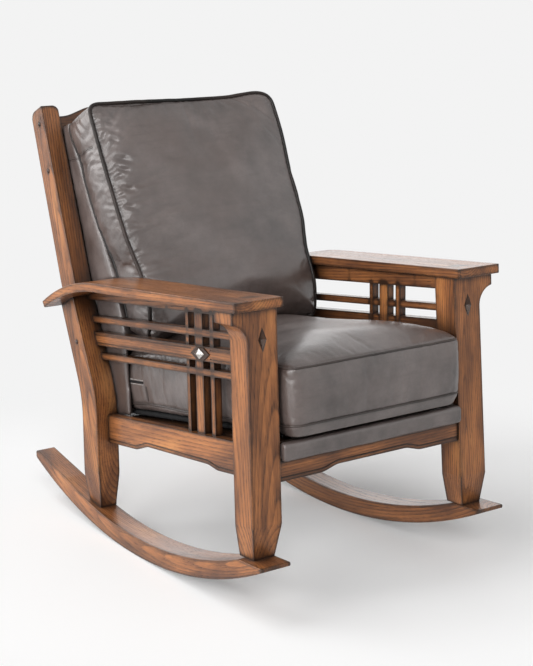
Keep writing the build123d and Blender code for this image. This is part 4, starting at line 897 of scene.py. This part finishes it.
# Folds of the pillow's left side, each from one point to the other, with its width and depth.
PILLOW_FOLDS = (
    ((-252, 700, 934), (-196, 712, 906), 6, 2.6), ((-252, 692, 918), (-182, 694, 872), 6, 2.8),
    ((-252, 684, 900), (-205, 684, 858), 5, 2.2), ((-252, 664, 846), (-178, 656, 812), 7, 2.8),
    ((-252, 655, 820), (-200, 650, 796), 5, 2.4), ((-252, 640, 776), (-190, 630, 742), 6, 2.2),
    ((-250, 622, 728), (-196, 612, 706), 6, 2.0), ((-250, 606, 684), (-200, 598, 668), 6, 1.8),
    ((-262, 716, 846), (-260, 778, 806), 6, 3.6), ((-262, 712, 828), (-260, 764, 782), 5, 2.6),
    ((-260, 800, 930), (-260, 742, 896), 6, 3.2), ((-260, 806, 908), (-260, 752, 872), 6, 2.8),
    ((-260, 800, 822), (-260, 776, 776), 5, 2.4), ((-262, 690, 770), (-260, 740, 742), 6, 1.8),
)


def pillow_point(u, v, front):
    """A point of the pillow's front or rear plane: u from -1 to 1 across, v from 0 to 1 up."""
    line, half = (PILLOW_FRONT, PILLOW_HALF_FRONT) if front else (PILLOW_REAR, PILLOW_HALF_REAR)
    low, high = line[0][0], line[-1][0]
    z = low + (high - low) * v
    x, y = u * curve_through(z, half), curve_through(z, line)
    if front:
        y = y - PILLOW_TWIST * np.clip(u, 0, 1) ** 2
        corner = PILLOW_EAR * bell(u - 0.80, 0.17)
        dip = 0.5 * PILLOW_EAR * bell(u - 0.15, 0.4)
        z = z + (corner - dip) * np.clip((v - 0.90) / 0.10, 0, 1)
    return np.stack([x, y, z], axis=1)


pillow_plan = rounded_ring(PILLOW_WIDTH / 2, PILLOW_HEIGHT / 2, PILLOW_CORNERS, PLAN_STEP)
plan_u = pillow_plan[:, 0] / (PILLOW_WIDTH / 2)
plan_v = 0.5 + pillow_plan[:, 1] / PILLOW_HEIGHT


def pillow_ring(shrink, depth, proud=0.0):
    """depth is 0 at the front welt and 1 at the rear seam; shrink is the inset in millimetres."""
    u = plan_u * (1 - 2 * shrink / PILLOW_WIDTH)
    v = 0.5 + (plan_v - 0.5) * (1 - 2 * shrink / PILLOW_HEIGHT)
    ring = pillow_point(u, v, True) * (1 - depth) + pillow_point(u, v, False) * depth
    z = PILLOW_FRONT[0][0] + (PILLOW_FRONT[-1][0] - PILLOW_FRONT[0][0]) * v
    straight = PILLOW_FOOT_Y - PILLOW_FOOT_SLOPE * (PILLOW_FOOT_Z - z)
    foot = np.where(z < PILLOW_FOOT_Z, np.maximum(curve_through(z, PILLOW_FRONT) - straight, 0), 0)
    proud = proud + foot * min(proud / 9, 1)
    ring[:, 1] -= proud * PILLOW_FORWARD
    ring[:, 2] += proud * PILLOW_UP
    return to_world(ring)


rings = [pillow_ring(inset, 0.0, proud) for inset, proud in PILLOW_CROWN]
pillow_welt_path = pillow_ring(0, 0.0)
rings += [pillow_ring(-BULGE * math.sin(math.pi * share), share) for share in np.linspace(0, 1, 19)]
pillow_rear_path = pillow_ring(0, 1.0)
rings += [pillow_ring(inset, 1.0) for inset in PILLOW_REAR_INSETS]
pillow = closed_shell("pillow_cover", rings, leather)
seams = dense(pillow_welt_path), dense(pillow_rear_path)
blow_up(pillow, seams, lambda at: at[:, 1] > curve_through(at[:, 2], PILLOW_REAR) - 4, 4.5, 0.026, -0.012)

co, local, (front_seam, rear_seam) = seams_round(pillow, seams)
face = local[:, 1] < curve_through(local[:, 2], PILLOW_FRONT) - 1
boxing = ~face
push = -0.0020 * bell(front_seam[0], 0.006) - 0.0018 * bell(rear_seam[0], 0.0045)
left_side = np.clip((-local[:, 0] - 60) / 150, 0, 1)
push += 0.0020 * gathers(front_seam, (0.016, 0.027, 0.043), 0.045, 11) * (0.30 + 0.70 * left_side) * face
push += 0.0020 * gathers(front_seam, (0.018, 0.029, 0.05), 0.03, 12) * boxing
push += 0.0012 * gathers(rear_seam, (0.020, 0.033), 0.025, 13) * boxing
push += (0.0042 * fields(co, (0.31, 0.42), 14) + 0.0016 * fields(co, (0.13, 0.19), 15)) * face
for start, end, width, depth in PILLOW_FOLDS:
    push += crease(co, start, end, width / 1000, 0.85 * depth / 1000)
push_out(pillow, co, push)
declare_cover(pillow, "chair", "leather", 0.75, "back_cushion", "back_fill")

lay_welt("pillow_welt", pillow, pillow_welt_path, 0.0022, 0.0048, welt_leather, "chair")
lay_welt("pillow_rear_welt", pillow, pillow_rear_path, 0.0012, 0.0040, welt_leather, "chair")


# ---- The upholstered back, the roll and the deck: soft forms over their CAD blocks ----
def soften(label, node, voxel, rounds, slot, material, puff, wave, seed):
    """A padded piece made from its block: its edges are worn round and its faces swell a little."""
    source = nodes[node].data
    piece = new_piece(label, points_of(source), [tuple(p.vertices) for p in source.polygons], material)
    remesh(piece, voxel)
    relax(piece, rounds)
    subdivide(piece)
    co = points_of(piece.data)
    push_out(piece, co, puff + wave * fields(co, (0.05, 0.09, 0.16), seed))
    declare_cover(piece, "chair", slot, 0.8, node)
    return piece


back_cover = soften("back_cover", "back_upholstery", VOXEL, 2, "padded_leather", leather, 0.0, 0.0008, 21)
soften("roll_cover", "front_roll", 0.004, 5, "padded_leather", leather, 0.0008, 0.0007, 22)
soften("deck_cover", "deck_pad", 0.005, 3, "cloth", cloth, 0.0, 0.0004, 23)

# Millimetres: a sheet's cell, its staples' pitch, how far their puckers reach, its hem fold's place and
# width, and how far in from the edge its waves have their full height.
SHEET_CELL, STAPLE_PITCH, PUCKER_REACH, HEM_FOLD, HEM_WIDTH, WAVES_FROM = 9, 38.0, 26.0, 12.0, 4.0, 60.0
OUTSIDE_CORNERS = ((257, 777.2, 347), (-257, 777.2, 347), (-257, 929.1, 921.6), (257, 929.1, 921.6))
DUST_CORNERS = ((235, 54.6, 223.8), (-235, 54.6, 223.8), (-235, 701.2, 168.9), (235, 701.2, 168.9))
# Where the outside panel is cut in for the arms' tails: the share of its height, the reach and the depth.
TAIL_NOTCH = (0.247, 0.022, 12.8)


def stretched_sheet(label, corners, thick, material, pucker, seed, notch=(0.5, 1.0, 0.0)):
    """A thin sheet pulled tight between four corners of its outer face and stapled at its hem."""
    low_left, low_right, high_right, high_left = (np.array(c, float) for c in corners)
    wide = np.linalg.norm(low_right - low_left)
    tall = np.linalg.norm(high_left - low_left)
    out = unit(np.cross(low_right - low_left, high_left - low_left))
    columns, rows = int(wide / SHEET_CELL), int(tall / SHEET_CELL)
    u = np.tile(np.arange(columns + 1) / columns, rows + 1)
    v = np.repeat(np.arange(rows + 1) / rows, columns + 1)
    low = low_left + (low_right - low_left) * u[:, None]
    high = high_left + (high_right - high_left) * u[:, None]
    verts = low + (high - low) * v[:, None]
    notch_place, notch_reach, notch_depth = notch
    tuck = np.clip(2 - np.abs(v - notch_place) / notch_reach, 0, 1)
    verts[:, 0] *= 1 - 2 * notch_depth / wide * tuck
    from_side, from_end = np.minimum(u, 1 - u) * wide, np.minimum(v, 1 - v) * tall
    hem = np.minimum(from_side, from_end)
    along = np.where(from_side < from_end, v * tall, u * wide)
    pull = np.sin(2 * math.pi * along / STAPLE_PITCH) * np.exp(-hem / PUCKER_REACH)
    pull = pull * np.clip(hem / SHEET_CELL, 0, 1)
    lift = pucker * (pull + 0.8 * fields(verts / 1000, (0.10, 0.19), seed) * np.clip(hem / WAVES_FROM, 0, 1))
    lift = lift - 0.9 * pucker * bell(hem - HEM_FOLD, HEM_WIDTH) - pucker
    front = to_world(verts + lift[:, None] * out)
    rear = to_world(verts + (lift - thick)[:, None] * out)
    count = len(verts)
    points = np.vstack([front, rear])
    faces = []
    for j in range(rows):
        for i in range(columns):
            a = j * (columns + 1) + i
            b, c, d = a + 1, a + columns + 2, a + columns + 1
            faces += [(a, b, c, d), (count + d, count + c, count + b, count + a)]
    rim = [j * (columns + 1) for j in range(rows)] + [rows * (columns + 1) + i for i in range(columns)]
    rim += [j * (columns + 1) + columns for j in range(rows, 0, -1)] + list(range(columns, 0, -1))
    faces += [(a, b, count + b, count + a) for a, b in zip(rim, rim[1:] + rim[:1])]
    piece = new_piece(label, points, faces, material)
    face_outward(piece.data)
    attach(piece, "chair")
    return piece


outside_panel = stretched_sheet(
    "outside_panel", OUTSIDE_CORNERS, 2.6, leather, 1.3, 31, notch=TAIL_NOTCH)
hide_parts("outside_back")
dust_panel = stretched_sheet(
    "dust_panel", DUST_CORNERS, 0.9, cloth, 0.8, 32)
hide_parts("dust_cover")


# ---- Joined boxing and the zip's slit: seams with a row of stitches on each side ----
# Metres: the seam's cord, its rows of stitches on each side, and the zip's slit with its rows.
SEAM_RADIUS, SEAM_STEP, STITCH_APART, STITCH_LIFT = 0.0011, 0.003, 0.0045, 0.0004
SLIT_ENDS, SLIT_RADIUS, SLIT_APART = [(-243, 584, 293.6), (-243, 656, 289.2)], 0.0026, 5.5


def stitch_rows(name, piece, line, offset, *sewing):
    """A row of stitches on each side of the line, at the offset from it."""
    return [stitches(f"{name}_{number}", on_surface(piece, line + side * offset, STITCH_LIFT), *sewing)
            for number, side in enumerate((-1, 1))]


def sewn_seam(label, piece, start, end, body):
    """A seam in the boxing, from start to end in chair millimetres, laid on the piece."""
    a, b = to_world(start), to_world(end)
    line = dense([a, b], SEAM_STEP, closed=False)
    across = unit(np.cross(b - a, (1.0, 0.0, 0.0)))
    laid = on_surface(piece, line, 0.0001)
    cord = tube(f"{label}_seam", laid, SEAM_RADIUS, self_welt_leather, closed=False, sides=8)
    declare_trim(body, cord, *stitch_rows(f"{label}_stitches", piece, line, STITCH_APART * across,
                                          0.0034, 0.0014, 0.00055, dark_thread))


sewn_seam("pillow_boxing", pillow, (-262, 722, 858.5), (-257, 802, 836.8), "chair")
sewn_seam("back_strip", back_cover, (-256, 816, 829.3), (-256, 862, 823.5), "chair")
sewn_seam("seat_boxing", seat_cover, (-245, 573, 286), (-245, 571, 248), "seat_cushion")
slit = dense(to_world(SLIT_ENDS), SEAM_STEP, closed=False)
slit_tape = tube("zip_slit", on_surface(seat_cover, slit, 0.0002), SLIT_RADIUS, cloth, closed=False, sides=8)
declare_trim("seat_cushion", slit_tape, slot="cloth")
slit_up = to_world([(0, 0, SLIT_APART)]) - to_world([(0, 0, 0)])
declare_trim("seat_cushion", *stitch_rows("zip_stitches", seat_cover, slit, slit_up,
                                          0.0044, 0.0011, 0.0010, thread))

# ---- Stage, lights and camera ----
BACKGROUND, AMBIENT = 0.896, 0.17
PAPER, WHITE = (BACKGROUND, BACKGROUND, BACKGROUND, 1), (1, 1, 1, 1)
FLOOR_ALBEDO, FLOOR_LIFT, FLOOR_HALF = 0.80, 0.16, 9.0
# The floor fades into the background round this point, from the first to the second share of this reach.
FADE_MIDDLE, FADE_REACH, FADE_FROM, FADE_TO = (0.05, 0.0, 0.0), 3.0, 0.27, 0.50


def showing(t):
    """1 for the rays that the backdrop is seen by: straight, mirrored or let through."""
    rays = t.add("LightPath")
    straight = t.math("MAXIMUM", rays.outputs["Is Camera Ray"], rays.outputs["Is Glossy Ray"])
    return t.math("MAXIMUM", straight, rays.outputs["Is Transmission Ray"])


floor_material, t = new_material("floor")
corners = [(x * FLOOR_HALF, y * FLOOR_HALF, 0) for x, y in ((-1, -1), (1, -1), (1, 1), (-1, 1))]
floor = new_piece("floor", corners, [(0, 1, 2, 3)], floor_material, smooth=False)
distance = t.vector("LENGTH", t.vector("SUBTRACT", t.place(), FADE_MIDDLE))
faded = t.ramp(t.math("DIVIDE", distance, FADE_REACH), [(FADE_FROM, 0.0), (FADE_TO, 1.0)], "EASE")
seen = showing(t)
matte = t.add("BsdfDiffuse", {"Color": (FLOOR_ALBEDO, FLOOR_ALBEDO, FLOOR_ALBEDO, 1)})
plain = t.add("Emission", {"Color": PAPER, "Strength": 1.0})
lift = t.add("Emission", {"Color": WHITE, "Strength": t.times(seen, FLOOR_LIFT)})
lifted = t.add("AddShader", {0: matte.outputs[0], 1: lift.outputs[0]})
both = t.add("MixShader", {0: t.times(seen, faded), 1: lifted.outputs[0], 2: plain.outputs[0]})
t.add("OutputMaterial", {"Surface": both.outputs[0]})

world = bpy.data.worlds.new("studio")
bpy.context.scene.world = world
world.use_nodes = True
world.node_tree.nodes.clear()
t = Tree(world.node_tree)
ambient = t.add("Background", {"Color": WHITE, "Strength": AMBIENT})
paper = t.add("Background", {"Color": PAPER, "Strength": 1.0})
both = t.add("MixShader", {0: showing(t), 1: ambient.outputs[0], 2: paper.outputs[0]})
t.add("OutputWorld", {"Surface": both.outputs[0]})


def sun(name, heading, elevation, strength, spread):
    """A far softbox: heading is the side that it stands on, in degrees round from +X."""
    light = bpy.data.lights.new(name, "SUN")
    light.energy = strength
    light.angle = math.radians(spread)
    lamp = bpy.data.objects.new(name, light)
    bpy.context.scene.collection.objects.link(lamp)
    around, up = math.radians(heading), math.radians(elevation)
    toward = Vector((math.cos(around) * math.cos(up), math.sin(around) * math.cos(up), math.sin(up)))
    lamp.rotation_euler = toward.to_track_quat("Z", "Y").to_euler()


# Each light's heading, elevation, strength and spread.
SUNS = {
    "key_left": (187, 16, 2.95, 50),
    "rim_left": (132, 13, 1.10, 40),
    "left_front": (242, 33, 1.0, 22),
    "fill_front": (303, 16, 0.42, 64),
    "top_back": (56, 15, 0.26, 30),
    "overhead": (140, 62, 0.98, 40),
}
for label, values in SUNS.items():
    sun(label, *values)

# The photo's camera: lens and sensor in millimetres, shift, place in metres and turn in degrees.
LENS, SENSOR, SHIFT = 83.28, 36.0, (-0.0195, 0.0751)
CAMERA_AT = (-2.08418, -3.04464, 1.35197)
CAMERA_TURN = (75.2270, 0.4390, -35.7214)
camera_data = bpy.data.cameras.new("camera")
camera_data.lens = LENS
camera_data.sensor_width = SENSOR
camera_data.shift_x, camera_data.shift_y = SHIFT
camera = bpy.data.objects.new("camera", camera_data)
bpy.context.scene.collection.objects.link(camera)
camera.location = CAMERA_AT
camera.rotation_euler = Euler([math.radians(angle) for angle in CAMERA_TURN])
bpy.context.scene.camera = camera
bpy.context.scene.view_settings.view_transform = "Standard"
